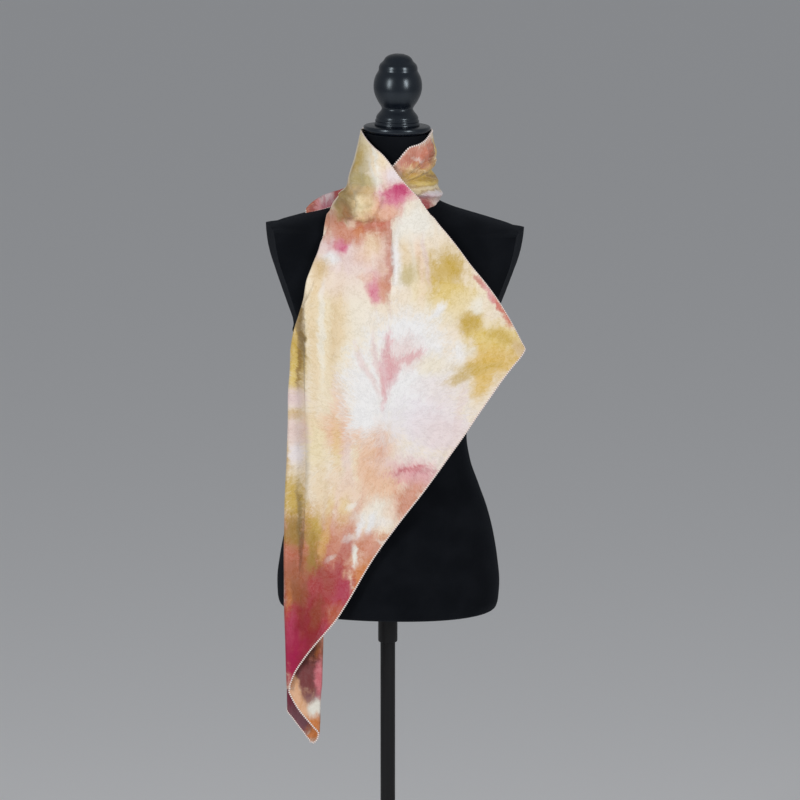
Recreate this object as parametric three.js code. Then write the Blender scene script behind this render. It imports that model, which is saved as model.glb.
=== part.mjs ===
// A silk square scarf wound round the neck of a limbless dress form, with the form's turned finial and
// pole stand. Millimetres, +Z up. The front faces -Y, and the origin is on the floor under the pole.
import * as THREE from 'three';
import { mergeVertices } from 'three/addons/utils/BufferGeometryUtils.js';

// Stand
const POLE_RADIUS = 11;
const COLLAR_RADIUS = 14.4;
const COLLAR_FOOT = 649;
const BASE_RADIUS = 170;
const BASE_EDGE = 7;
const BASE_CROWN = 13;
const SOCKET_RADIUS = 21;
const SOCKET_TOP = 62;
const ROUND_SIDES = 32;

// Dress form: it leans a little to its left on the pole, about the middle of its underside
const FORM_FOOT = 703;
const FORM_LEAN = THREE.MathUtils.degToRad(1.07);
const FORM_SIDES = 44;
const PLATE_TILT = 0.15;
const PLATE_BACK = 40;
const DISC_FOOT = 1409;
const DISC_TOP = 1420;
const SEAT_GAP = 0.3;

// Cloth
const WALL = 1.2;
const SEAM_GAP = 0.3;
const NECK_SEAM = 1300;
const TAIL_SEAM = 758;
const BACK_SEAM = 200;
const WRAP_END = 140;

// Level sections of the form: z from the floor, half its width, its reach to the front and back, the
// squareness of the section, and where the flat armhole plate cuts its side
const FORM = [
  { z: 703, half: 150, front: 93, back: 101, square: 2.2 },
  { z: 705, half: 156, front: 99, back: 107, square: 2.2 },
  { z: 710, half: 161, front: 104, back: 112, square: 2.2 },
  { z: 722, half: 163.5, front: 107, back: 117, square: 2.3 },
  { z: 745, half: 164.5, front: 108, back: 120, square: 2.3 },
  { z: 778, half: 161, front: 108, back: 120, square: 2.3 },
  { z: 815, half: 154.5, front: 105, back: 116, square: 2.3 },
  { z: 853, half: 144.5, front: 100, back: 109, square: 2.2 },
  { z: 892, half: 130, front: 93, back: 100, square: 2.2 },
  { z: 928, half: 117, front: 87, back: 92, square: 2.2 },
  { z: 965, half: 111, front: 84, back: 86, square: 2.2 },
  { z: 985, half: 111.5, front: 84, back: 85, square: 2.2 },
  { z: 1020, half: 118, front: 88, back: 87, square: 2.2 },
  { z: 1060, half: 129, front: 96, back: 91, square: 2.2 },
  { z: 1095, half: 139.5, front: 107, back: 95, square: 2.3 },
  { z: 1125, half: 149.5, front: 115, back: 97, square: 2.4, side: 149 },
  { z: 1145, half: 157, front: 118, back: 98, square: 2.6, side: 155 },
  { z: 1165, half: 166, front: 116, back: 99, square: 2.8, side: 162 },
  { z: 1195, half: 181, front: 107, back: 98, square: 3, side: 172 },
  { z: 1230, half: 197, front: 93, back: 94, square: 3, side: 183 },
  { z: 1257, half: 203, front: 80, back: 88, square: 3, side: 187.5 },
  { z: 1268, half: 203, front: 74, back: 84, square: 3, side: 188.5 },
  { z: 1272, half: 181, front: 71, back: 81, square: 2.8 },
  { z: 1277, half: 168, front: 68, back: 79, square: 2.7 },
  { z: 1282, half: 152, front: 65, back: 76, square: 2.6 },
  { z: 1288.5, half: 130, front: 61, back: 72, square: 2.5 },
  { z: 1295, half: 107, front: 57.5, back: 68, square: 2.4 },
  { z: 1302, half: 85, front: 54, back: 63, square: 2.2 },
  { z: 1311, half: 65, front: 51, back: 58, square: 2.1 },
  { z: 1322, half: 55, front: 49, back: 54, square: 2 },
  { z: 1342, half: 50, front: 47.5, back: 50, square: 2 },
  { z: 1375, half: 48, front: 46.5, back: 48, square: 2 },
  { z: DISC_FOOT - SEAT_GAP, half: 47, front: 46, back: 47, square: 2 },
];

// The turned disc and the finial, as radius and height from the floor
const DISC = [
  { r: 40, z: DISC_FOOT },
  { r: 45, z: 1410.5 },
  { r: 48, z: 1413.5 },
  { r: 48.6, z: 1416.5 },
  { r: 48, z: 1419 },
  { r: 46.4, z: DISC_TOP },
];
const FINIAL = [
  { r: 32.6, z: DISC_TOP + SEAT_GAP },
  { r: 33, z: 1423 },
  { r: 31.6, z: 1425.6 },
  { r: 32, z: 1427.4 },
  { r: 30.4, z: 1430.2 },
  { r: 30.6, z: 1432 },
  { r: 28.6, z: 1436 },
  { r: 25.6, z: 1439.6 },
  { r: 24.2, z: 1441.4 },
  { r: 22.6, z: 1444.6 },
  { r: 24, z: 1448.2 },
  { r: 27.1, z: 1452.8 },
  { r: 29.8, z: 1457.5 },
  { r: 32.8, z: 1464 },
  { r: 34.8, z: 1471.5 },
  { r: 35.1, z: 1479 },
  { r: 34.2, z: 1486.4 },
  { r: 32, z: 1492.9 },
  { r: 29.2, z: 1498 },
  { r: 28.2, z: 1500.4 },
  { r: 27.9, z: 1504.6 },
  { r: 26.4, z: 1508.8 },
  { r: 21.8, z: 1513.5 },
  { r: 18.8, z: 1518.1 },
  { r: 14, z: 1521.6 },
  { r: 7, z: 1523.8 },
];

// The stretch round the left of the neck, down to the seam with the front panel: the hem's x at each
// height, the reach of the cloth to the left and the front from the neck's middle, and the angle at
// which it ends behind
const NECK_LEFT = [
  { z: 1414, hem: -38.6, wide: 52.5, deep: 52.5, end: 200 },
  { z: 1408, hem: -34, wide: 53.5, deep: 54, end: 200 },
  { z: 1395, hem: -21, wide: 56, deep: 57, end: 200 },
  { z: 1385, hem: -8, wide: 58, deep: 59.5, end: 200 },
  { z: 1371, hem: 4, wide: 61, deep: 61.5, end: 200 },
  { z: 1356, hem: 15, wide: 66, deep: 64, end: 200 },
  { z: 1346, hem: 23, wide: 69, deep: 67, end: 200 },
  { z: 1331, hem: 37, wide: 72, deep: 72, end: 199 },
  { z: 1322, hem: 45.5, wide: 81.5, deep: 76, end: 188 },
  { z: 1315, hem: 51.5, wide: 89, deep: 79, end: 176 },
  { z: 1308, hem: 56.5, wide: 97, deep: 82, end: 167 },
  { z: NECK_SEAM, hem: 62.5, wide: 104, deep: 85, end: 160 },
];

// The hanging cloth at each height: x of the right hem, of the front fold and of the outer left fold,
// and the width, depth and squareness of the curve that its front follows
const PANEL = [
  { z: NECK_SEAM, hem: 62.5, fold: -87, strip: -87, wide: 104, deep: 85, square: 2 },
  { z: 1294, hem: 67.5, fold: -89, strip: -89, wide: 116, deep: 87, square: 2.1 },
  { z: 1286, hem: 74, fold: -91.5, strip: -91.5, wide: 136, deep: 90, square: 2.2 },
  { z: 1276, hem: 83, fold: -94, strip: -94, wide: 156, deep: 94, square: 2.2 },
  { z: 1254, hem: 101.5, fold: -98, strip: -98.5, wide: 190, deep: 103, square: 2.3 },
  { z: 1231, hem: 119, fold: -108, strip: -108, wide: 208, deep: 112, square: 2.4 },
  { z: 1208, hem: 138, fold: -117, strip: -117, wide: 220, deep: 118, square: 2.4 },
  { z: 1185, hem: 155, fold: -119.5, strip: -120.5, wide: 228, deep: 120.5, square: 2.4 },
  { z: 1161, hem: 170, fold: -120, strip: -127.5, wide: 234, deep: 121, square: 2.4 },
  { z: 1136, hem: 183.5, fold: -120, strip: -135, wide: 238, deep: 121, square: 2.4 },
  { z: 1114, hem: 194.5, fold: -120.5, strip: -139, wide: 240, deep: 121, square: 2.4 },
  { z: 1107, hem: 198, fold: -120.5, strip: -140, wide: 240, deep: 121, square: 2.4 },
  { z: 1099, hem: 194, fold: -120.5, strip: -140.5, wide: 240, deep: 121, square: 2.4 },
  { z: 1083, hem: 180, fold: -120.5, strip: -141, wide: 240, deep: 121, square: 2.4 },
  { z: 1061, hem: 162.5, fold: -120.5, strip: -142.5, wide: 240, deep: 121, square: 2.4 },
  { z: 1039, hem: 146.5, fold: -120, strip: -144, wide: 240, deep: 121, square: 2.4 },
  { z: 994, hem: 115.5, fold: -119.5, strip: -145, wide: 243, deep: 120.5, square: 2.4 },
  { z: 949, hem: 84, fold: -119.5, strip: -146.5, wide: 246, deep: 120, square: 2.4 },
  { z: 903, hem: 51, fold: -120, strip: -149, wide: 250, deep: 120, square: 2.4 },
  { z: 856, hem: 15, fold: -121.5, strip: -150.5, wide: 254, deep: 120, square: 2.4 },
  { z: 808, hem: -19, fold: -125, strip: -151, wide: 258, deep: 119.5, square: 2.4 },
  { z: 783, hem: -34, fold: -127.5, strip: -151, wide: 260, deep: 119, square: 2.4 },
  { z: TAIL_SEAM, hem: -48, fold: -130, strip: -151, wide: 262, deep: 119, square: 2.4 },
];
// The stack behind its left edge: how far the pleat is folded, the space between the layers, the stack's
// width, and how much cloth lies in it past the outer left fold
const STACK = [
  { z: NECK_SEAM, pleat: 0, space: 3, stack: 10, rest: 4 },
  { z: 1276, pleat: 0, space: 3, stack: 10, rest: 4 },
  { z: 1231, pleat: 0, space: 3, stack: 10, rest: 5 },
  { z: 1208, pleat: 0.1, space: 3, stack: 12, rest: 6 },
  { z: 1185, pleat: 0.4, space: 3, stack: 14, rest: 8 },
  { z: 1161, pleat: 0.75, space: 3.2, stack: 18, rest: 10 },
  { z: 1136, pleat: 0.9, space: 3.6, stack: 22, rest: 14 },
  { z: 1114, pleat: 0.95, space: 4, stack: 26, rest: 22 },
  { z: 1107, pleat: 1, space: 4.2, stack: 28, rest: 26 },
  { z: 1083, pleat: 1, space: 4.8, stack: 34, rest: 44 },
  { z: 1061, pleat: 1, space: 5.2, stack: 38, rest: 64 },
  { z: 1039, pleat: 1, space: 5.5, stack: 41, rest: 92 },
  { z: 994, pleat: 1, space: 6, stack: 45, rest: 132 },
  { z: 949, pleat: 1, space: 6, stack: 48, rest: 142 },
  { z: 903, pleat: 0.9, space: 6.3, stack: 51, rest: 148 },
  { z: 856, pleat: 0.7, space: 6.6, stack: 53, rest: 150 },
  { z: 808, pleat: 0.35, space: 7, stack: 55, rest: 152 },
  { z: 783, pleat: 0.17, space: 7.2, stack: 55.5, rest: 153 },
  { z: TAIL_SEAM, pleat: 0, space: 7.4, stack: 56, rest: 154 },
];

// The lower tail, past the end of the left pleat. Past z 598 the hem has gone round the outer left fold,
// and its x is on the second layer; the rest shrinks along the other hem, down to the scarf's corner
const TAIL = [
  { z: TAIL_SEAM, hem: -48, layer: 1, strip: -151, space: 7.4, stack: 56, rest: 154 },
  { z: 736, hem: -60.5, layer: 1, strip: -151, space: 7.6, stack: 57, rest: 155 },
  { z: 711, hem: -76, layer: 1, strip: -150.5, space: 7.8, stack: 57, rest: 156 },
  { z: 687, hem: -95.5, layer: 1, strip: -150, space: 8, stack: 56, rest: 157 },
  { z: 667, hem: -111.5, layer: 1, strip: -149.5, space: 8, stack: 55, rest: 156 },
  { z: 651, hem: -123, layer: 1, strip: -149, space: 8, stack: 54, rest: 155 },
  { z: 629, hem: -136.5, layer: 1, strip: -148.5, space: 8, stack: 53, rest: 152 },
  { z: 611, hem: -145, layer: 1, strip: -148, space: 8, stack: 52, rest: 142 },
  { z: 598, hem: -144.5, layer: 2, strip: -147.5, space: 8, stack: 50.5, rest: 126 },
  { z: 584, hem: -137.5, layer: 2, strip: -147.5, space: 8, stack: 49.5, rest: 114 },
  { z: 570, hem: -128.5, layer: 2, strip: -147.5, space: 8, stack: 49, rest: 107 },
  { z: 558, hem: -118.5, layer: 2, strip: -147.5, space: 8, stack: 49, rest: 97.5 },
  { z: 547, hem: -109, layer: 2, strip: -147.5, space: 8, stack: 48.5, rest: 88 },
  { z: 537, hem: -101.5, layer: 2, strip: -147.5, space: 8, stack: 48, rest: 79 },
  { z: 530, hem: -102.5, layer: 2, strip: -147.5, space: 8, stack: 45, rest: 69.5 },
  { z: 525, hem: -106.5, layer: 2, strip: -147.5, space: 8, stack: 41, rest: 59 },
  { z: 522, hem: -109.5, layer: 2, strip: -147.5, space: 8, stack: 38, rest: 52 },
];
const TAIL_DEEP = 119;
const TAIL_WIDE = 262;
const TAIL_SQUARE = 2.4;

// The stretch round the back and right of the neck: the height of its top and bottom edges at each
// angle, from the right, through the front, to where it passes under the panel
const WRAP_EDGES = [
  { angle: -160, top: 1413.5, bottom: 1312 },
  { angle: -130, top: 1411, bottom: 1312 },
  { angle: -90, top: 1409, bottom: 1313 },
  { angle: -50, top: 1411, bottom: 1314 },
  { angle: -20, top: 1412.5, bottom: 1315 },
  { angle: 0, top: 1412.5, bottom: 1315 },
  { angle: 15, top: 1411, bottom: 1308 },
  { angle: 26, top: 1406.5, bottom: 1301 },
  { angle: 38, top: 1401, bottom: 1296.5 },
  { angle: 52, top: 1397, bottom: 1297 },
  { angle: 68, top: 1394, bottom: 1308 },
  { angle: 78, top: 1386, bottom: 1319 },
  { angle: 86, top: 1377, bottom: 1323 },
  { angle: 110, top: 1356, bottom: 1320 },
  { angle: WRAP_END, top: 1338, bottom: 1313 },
];
// Its gathers, from the bottom edge to the top: how far the cloth stands from the neck's middle at the
// right, at the back, and under the panel
const WRAP_ROLLS = [
  { up: 0, right: 66, back: 66, under: 57 },
  { up: 0.07, right: 65.5, back: 69.5, under: 59.5 },
  { up: 0.14, right: 63.5, back: 67.5, under: 58.5 },
  { up: 0.22, right: 61, back: 66.5, under: 57.5 },
  { up: 0.34, right: 56.3, back: 65, under: 55.5 },
  { up: 0.44, right: 50.6, back: 62, under: 53 },
  { up: 0.53, right: 54.5, back: 59.5, under: 52 },
  { up: 0.67, right: 58.3, back: 58.5, under: 54 },
  { up: 0.83, right: 54, back: 55, under: 53 },
  { up: 0.93, right: 52, back: 52.6, under: 51.2 },
  { up: 1, right: 50.8, back: 52, under: 50.6 },
];

// The free end on the left shoulder: x from the fold beside the neck to the tip, its ridge over the
// shoulder, and half its width
const END_TAIL = [
  { x: -72, ridge: 20, half: 11 },
  { x: -80, ridge: 21.5, half: 12 },
  { x: -89, ridge: 22, half: 12 },
  { x: -98, ridge: 20.5, half: 11 },
  { x: -106, ridge: 17, half: 9 },
  { x: -113, ridge: 12, half: 6.5 },
  { x: -118, ridge: 7, half: 4 },
  { x: -121, ridge: 3, half: 2 },
];
const END_TAIL_MIDDLE = 13;

// The value of a table's column at a place between its rows, on a smooth curve that never overshoots them
function along(table, key, column) {
  const rows = [...table].sort((a, b) => a[key] - b[key]);
  const step = rows.slice(1).map((row, i) => row[key] - rows[i][key]);
  const slope = rows.slice(1).map((row, i) => (row[column] - rows[i][column]) / step[i]);
  const lean = rows.map((row, i) => {
    const before = slope[Math.max(i - 1, 0)];
    const after = slope[Math.min(i, slope.length - 1)];
    return before * after > 0 ? (2 * before * after) / (before + after) : 0;
  });
  return (place) => {
    let i = 0;
    while (i < step.length - 1 && place > rows[i + 1][key]) i += 1;
    const t = Math.min(Math.max((place - rows[i][key]) / step[i], 0), 1);
    const turn = step[i] * (lean[i] * t * (1 - t) ** 2 - lean[i + 1] * t ** 2 * (1 - t));
    return rows[i][column] + (rows[i + 1][column] - rows[i][column]) * t * t * (3 - 2 * t) + turn;
  };
}

// Every column of a table as such a curve
function curves(table, key) {
  const columns = Object.keys(table[0]).filter((name) => name !== key);
  return Object.fromEntries(columns.map((name) => [name, along(table, key, name)]));
}

// Where the middle of the leaning form stands at a height
const middle = (z) => (z - FORM_FOOT) * Math.sin(FORM_LEAN);

// A place on a level section: angle 0 is the right, 90 the front, 180 the left and 270 the back
function onSection(angle, half, front, back, square) {
  const turn = THREE.MathUtils.degToRad(angle);
  const across = Math.sign(Math.cos(turn)) * Math.abs(Math.cos(turn)) ** (2 / square);
  const out = Math.abs(Math.sin(turn)) ** (2 / square);
  return { x: half * across, y: Math.sin(turn) > 0 ? -front * out : back * out };
}

// One closed solid from its triangles' corners, with its faces turned out
function solid(places, faces) {
  const shape = new THREE.BufferGeometry();
  shape.setAttribute('position', new THREE.Float32BufferAttribute(places.flat(), 3));
  shape.setIndex(faces.flat());
  const merged = mergeVertices(shape, 1e-3);
  const corners = merged.getIndex().array;
  const at = merged.getAttribute('position');
  const corner = (n) => new THREE.Vector3().fromBufferAttribute(at, n);
  const kept = [];
  let volume = 0;
  for (let n = 0; n < corners.length; n += 3) {
    const [a, b, c] = corners.slice(n, n + 3);
    if (a === b || b === c || c === a) continue;
    kept.push([a, b, c]);
    volume += corner(a).dot(corner(b).cross(corner(c)));
  }
  merged.setIndex((volume < 0 ? kept.map(([a, b, c]) => [a, c, b]) : kept).flat());
  merged.computeVertexNormals();
  return merged;
}

// A solid through level rings of the same number of places, closed by a fan at each end
function throughRings(rings) {
  const sides = rings[0].length;
  const places = rings.flat();
  const faces = [];
  for (let i = 0; i < rings.length - 1; i += 1) {
    for (let j = 0; j < sides; j += 1) {
      const a = i * sides + j;
      const b = i * sides + ((j + 1) % sides);
      faces.push([a, b, b + sides], [a, b + sides, a + sides]);
    }
  }
  for (const [ring, first, second] of [[rings[0], 1, 0], [rings.at(-1), 0, 1]]) {
    const start = ring === rings[0] ? 0 : (rings.length - 1) * sides;
    const sum = ring.reduce((total, place) => total.map((v, n) => v + place[n] / sides), [0, 0, 0]);
    const hub = places.push(sum) - 1;
    for (let j = 0; j < sides; j += 1) {
      const edge = [start + j, start + ((j + 1) % sides)];
      faces.push([edge[first], edge[second], hub]);
    }
  }
  return solid(places, faces);
}

// A cloth wall round the middle surface that the rows give, each row a list of a place and the way out
// from it
function wall(rows) {
  const sides = [WALL / 2, -WALL / 2];
  const width = rows[0].length;
  const places = sides.flatMap((shift) =>
    rows.flat().map(({ at, out }) => at.map((value, n) => value + out[n] * shift)),
  );
  const under = rows.length * width;
  const faces = [];
  const quad = (a, b, c, d) => faces.push([a, b, c], [a, c, d]);
  for (let i = 0; i < rows.length - 1; i += 1) {
    for (let j = 0; j < width - 1; j += 1) {
      const a = i * width + j;
      quad(a, a + 1, a + width + 1, a + width);
      quad(under + a, under + a + width, under + a + width + 1, under + a + 1);
    }
    const left = i * width;
    const right = left + width - 1;
    quad(left, left + width, under + left + width, under + left);
    quad(right, under + right, under + right + width, right + width);
  }
  const last = (rows.length - 1) * width;
  for (let j = 0; j < width - 1; j += 1) {
    quad(j, under + j, under + j + 1, j + 1);
    quad(last + j, last + j + 1, under + last + j + 1, under + last + j);
  }
  return solid(places, faces);
}

// A level row of a wall: the path gives x and y at each step, and the wall's thickness lies square to it
function levelRow(z, steps, path) {
  const REACH = 0.05;
  return steps.map((step) => {
    const here = path(step);
    const before = path(step - REACH);
    const after = path(step + REACH);
    const run = Math.hypot(after.x - before.x, after.y - before.y);
    return { at: [here.x, here.y, z], out: [(after.y - before.y) / run, -(after.x - before.x) / run, 0] };
  });
}

// Evenly spaced values, both ends included
const between = (from, to, count) =>
  Array.from({ length: count }, (_, n) => from + ((to - from) * n) / (count - 1));

// Dress form
function formRing(row) {
  return between(0, 360, FORM_SIDES + 1).slice(0, -1).map((angle) => {
    const { x, y } = onSection(angle, row.half, row.front, row.back, row.square);
    const limit = row.side ? row.side + PLATE_TILT * (y - PLATE_BACK) : Infinity;
    return [Math.sign(x) * Math.min(Math.abs(x), limit), y, row.z - FORM_FOOT];
  });
}

// Stand and finial: a profile of radius and height, spun round the pole
function spun(profile, sides = ROUND_SIDES) {
  const points = [new THREE.Vector2(0, profile[0].z)];
  points.push(...profile.map(({ r, z }) => new THREE.Vector2(r, z)));
  points.push(new THREE.Vector2(0, profile.at(-1).z));
  const shape = new THREE.LatheGeometry(points, sides).rotateX(Math.PI / 2);
  const at = shape.getAttribute('position');
  const places = Array.from({ length: at.count }, (_, n) => [at.getX(n), at.getY(n), at.getZ(n)]);
  return solid(places, [Array.from(shape.getIndex().array)]);
}

// Soft folds that run down the chest from the neck: how far the cloth stands out of its smooth front
const CHEST_FOLDS = [
  { top: 20, run: 0.02, width: 13, height: 4.5, from: 1310, to: 1120 },
  { top: -18, run: -0.2, width: 12, height: -3.5, from: 1300, to: 1150 },
  { top: -48, run: -0.3, width: 11, height: 3.5, from: 1300, to: 1120 },
  { top: 46, run: 0.45, width: 13, height: -2.5, from: 1290, to: 1100 },
];
function chestFolds(x, z) {
  let out = 0;
  for (const fold of CHEST_FOLDS) {
    const down = THREE.MathUtils.clamp((fold.from - z) / (fold.from - fold.to), 0, 1);
    const near = (x - fold.top - fold.run * (fold.from - z)) / (fold.width * (1 + down));
    out += fold.height * Math.sin(Math.PI * down) * Math.exp(-near * near);
  }
  return out;
}

// How far the front of the hanging cloth stands from the form's middle plane
function panelFront(x, z, wide, deep, square) {
  const share = Math.min(Math.abs(x - middle(z)) / wide, 0.9999);
  return -deep * (1 - share ** square) ** (1 / square) - chestFolds(x, z);
}

// The left pleat, in which the front layer steps back and under itself
const PLEAT_RUN = 18;
const PLEAT_SWING = 20;
const PLEAT_DEPTH = 2.2;
// Where the pleat's middle lies, so that the front layer turns at the fold
function pleatMiddle(row) {
  const swing = PLEAT_SWING * row.pleat;
  const pull = PLEAT_RUN / (2 * Math.PI * Math.max(swing, 1e-6));
  if (pull >= 1) return row.fold - row.strip - row.space / 2;
  const turn = 2 * Math.PI - Math.acos(-pull);
  const lift = -swing * Math.sin(turn) - PLEAT_RUN * (turn / (2 * Math.PI) - 0.5);
  return Math.max(row.fold - row.strip - row.space / 2 + lift, PLEAT_RUN / 2);
}

// A level line through the hanging cloth. Length 0 is the outer left fold, below 0 lies the front layer,
// and above 0 the cloth goes to and fro behind it, in layers one space apart
function stackPath(z, row) {
  const bend = (Math.PI * row.space) / 4;
  const straight = row.stack - row.space;
  const centre = pleatMiddle(row);
  const depth = PLEAT_DEPTH * row.space * row.pleat;
  return (length) => {
    let across;
    let behind;
    if (length < -bend) {
      const run = -length - bend;
      const share = THREE.MathUtils.clamp((run - centre) / PLEAT_RUN + 0.5, 0, 1);
      const wave = Math.sin(2 * Math.PI * share);
      across = row.space / 2 + run + PLEAT_SWING * row.pleat * wave;
      behind = depth * (1 - share + wave / (2 * Math.PI));
    } else {
      const lap = straight + 2 * bend;
      const turns = Math.floor((length + bend) / lap);
      const rest = length + bend - turns * lap;
      const angle = Math.min(rest / (row.space / 2), Math.PI);
      const run = Math.max(rest - 2 * bend, 0);
      const inward = row.space / 2 - (row.space / 2) * Math.sin(angle) + run;
      across = turns % 2 === 0 ? inward : row.stack - inward;
      behind = depth + row.space * (turns + (1 - Math.cos(angle)) / 2);
    }
    const x = row.strip + across;
    return { x, y: panelFront(x, z, row.wide, row.deep, row.square) + behind };
  };
}

// Lengths along that line, crowded where the cloth turns and kept between the two hems
function stackSteps(row, from, to, layers) {
  const bend = (Math.PI * row.space) / 4;
  const lap = row.stack - row.space + 2 * bend;
  const steps = [];
  for (let n = 0; n < layers; n += 1) {
    steps.push(...between(-bend, bend, 5).map((step) => step + n * lap));
    steps.push(n * lap + lap / 2);
  }
  return steps.map((step) => THREE.MathUtils.clamp(step, from, to));
}

const lengthAtHem = (row) => {
  const run = row.hem - row.strip - row.space / 2;
  return (row.layer === 2 ? 1 : -1) * ((Math.PI * row.space) / 4 + run);
};

// The rows of the hanging cloth, each with its stack
function panelRows() {
  const stack = curves(STACK, 'z');
  return PANEL.map((row) => {
    const behind = Object.entries(stack).map(([name, at]) => [name, at(row.z)]);
    return { ...row, ...Object.fromEntries(behind) };
  });
}

// Front panel: from the middle of the left pleat to the right hem
const PLEAT_GAP = 1;
function frontPanel() {
  const rows = panelRows().map((row, n) => {
    const z = row.z - (n === 0 ? SEAM_GAP : 0);
    const path = stackPath(z, row);
    const middleOfPleat = (-Math.PI * row.space) / 4 - pleatMiddle(row);
    const [here, next] = [path(middleOfPleat), path(middleOfPleat - 1)];
    const seam = middleOfPleat - PLEAT_GAP / Math.hypot(next.x - here.x, next.y - here.y);
    const flat = middleOfPleat - PLEAT_RUN / 2 - 2;
    const steps = [...between(seam, flat, 7), ...between(flat, lengthAtHem(row), 13).slice(1)];
    return levelRow(z, steps, path);
  });
  return wall(rows);
}

// The cloth in the pleat behind the front panel, which shows as a strip along its left
function underFold() {
  const rows = panelRows().map((row, n) => {
    const z = row.z - (n === 0 ? SEAM_GAP : 0);
    const bend = (Math.PI * row.space) / 4;
    const seam = -bend - pleatMiddle(row);
    const steps = [...between(seam, -bend - 1, 7), ...stackSteps(row, -bend, row.rest, 4), row.rest];
    return levelRow(z, steps, stackPath(z, row));
  });
  return wall(rows);
}

// The tail below the pleat, folded to and fro down to the scarf's corner
function tail() {
  const rows = TAIL.map((row, n) => {
    const z = row.z - (n === 0 ? SEAM_GAP : 0);
    const start = lengthAtHem(row);
    const bend = (Math.PI * row.space) / 4;
    const full = { ...row, wide: TAIL_WIDE, deep: TAIL_DEEP, square: TAIL_SQUARE, pleat: 0, fold: row.strip };
    const front = between(Math.min(start, -bend - 1), -bend - 1, 8);
    const shown = front.map((step) => Math.max(step, start));
    const steps = [...shown, ...stackSteps(row, start, row.rest, 4), row.rest];
    return levelRow(z, steps, stackPath(z, full));
  });
  return wall(rows);
}

// The stretch round the left of the neck, from its hem to the seam behind
function neckLeft() {
  const rows = NECK_LEFT.map((row) => {
    const { z, wide, deep } = row;
    const start = THREE.MathUtils.radToDeg(Math.acos((row.hem - middle(z)) / wide));
    const end = row.end - THREE.MathUtils.radToDeg(SEAM_GAP / wide);
    const path = (angle) => {
      const { x, y } = onSection(angle, wide, deep, wide, 2);
      const fold = angle < 180 ? chestFolds(x + middle(z), z) : 0;
      return { x: x + middle(z), y: y - fold };
    };
    return levelRow(z, between(end, start, 15), path);
  });
  return wall(rows);
}

// The stretch round the back and right of the neck, which ends under the panel
const WRAP_LIFT = 1.1;
function neckWrap() {
  const edges = curves(WRAP_EDGES, 'angle');
  const angles = between(BACK_SEAM - 360, WRAP_END, 31);
  const reachOf = (roll, angle) => {
    const behind = THREE.MathUtils.smoothstep(-angle, 20, 110);
    const under = THREE.MathUtils.smoothstep(angle, 30, 90);
    return roll.right * (1 - behind - under) + roll.back * behind + roll.under * under;
  };
  const wayOut = (angle) => {
    const turn = THREE.MathUtils.degToRad(angle);
    return [Math.cos(turn), -Math.sin(turn), 0];
  };
  const foot = (angle) => {
    const reach = reachOf(WRAP_ROLLS[0], angle) - WALL / 2;
    const [across, deep] = wayOut(angle);
    const rest = shoulderHeight(middle(edges.bottom(angle)) + across * reach, deep * reach);
    return Math.max(edges.bottom(angle), rest + WRAP_LIFT);
  };
  const rows = WRAP_ROLLS.map((roll) =>
    angles.map((angle) => {
      const bottom = foot(angle);
      const z = bottom + (edges.top(angle) - bottom) * roll.up;
      const reach = reachOf(roll, angle);
      const out = wayOut(angle);
      return { at: [middle(z) + out[0] * reach, out[1] * reach, z], out };
    }),
  );
  return wall(rows);
}

// The height of the form's shoulder under a place
const SHOULDER_FOOT = 1257;
function shoulderHeight(x, y) {
  const inside = (level) => {
    const z = level + (x - middle(level)) * Math.sin(FORM_LEAN);
    const next = FORM.findIndex((row) => row.z > z);
    const share = (z - FORM[next - 1].z) / (FORM[next].z - FORM[next - 1].z);
    const here = (column) => THREE.MathUtils.lerp(FORM[next - 1][column], FORM[next][column], share);
    const reach = y < 0 ? here('front') : here('back');
    const across = Math.abs(x - middle(level)) / here('half');
    return across ** here('square') + (Math.abs(y) / reach) ** here('square') < 1;
  };
  let [low, high] = [SHOULDER_FOOT, DISC_FOOT - 1];
  while (high - low > 0.05) {
    const mid = (low + high) / 2;
    if (inside(mid)) low = mid;
    else high = mid;
  }
  return high;
}

// The free end on the left shoulder, folded like a low ridge
const END_TAIL_LIFT = 1.4;
const SHOULDER_SLOPE = 0.31;
function endTail() {
  const rows = END_TAIL.map((row) =>
    between(-1, 1, 9).map((across) => {
      const y = END_TAIL_MIDDLE + across * row.half;
      const floor = shoulderHeight(row.x, y) + END_TAIL_LIFT;
      const rise = Math.cos((Math.PI / 2) * across) ** 1.5;
      const lean = new THREE.Vector3(-SHOULDER_SLOPE, across * 0.9, 1).normalize();
      return { at: [row.x, y, floor + row.ridge * rise * 0.95], out: lean.toArray() };
    }),
  );
  return wall(rows);
}

// Materials
const finish = (color, roughness, metalness = 0) =>
  new THREE.MeshStandardMaterial({ color, roughness, metalness });
const SILK = finish('#e3c3a0', 0.45);
const VELVET = finish('#0d0d10', 0.9);
const BLACK_WOOD = finish('#15161a', 0.3);
const BLACK_STEEL = finish('#111214', 0.45, 0.3);

function piece(name, shape, material) {
  const mesh = new THREE.Mesh(shape, material);
  mesh.name = name;
  return mesh;
}

const formOnPole = new THREE.Group();
formOnPole.position.z = FORM_FOOT;
formOnPole.rotation.y = FORM_LEAN;
const lowered = (profile) => profile.map(({ r, z }) => ({ r, z: z - FORM_FOOT }));
formOnPole.add(
  piece('form_torso', throughRings(FORM.map(formRing)), VELVET),
  piece('neck_disc', spun(lowered(DISC)), BLACK_WOOD),
  piece('finial', spun(lowered(FINIAL)), BLACK_WOOD),
);

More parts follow.
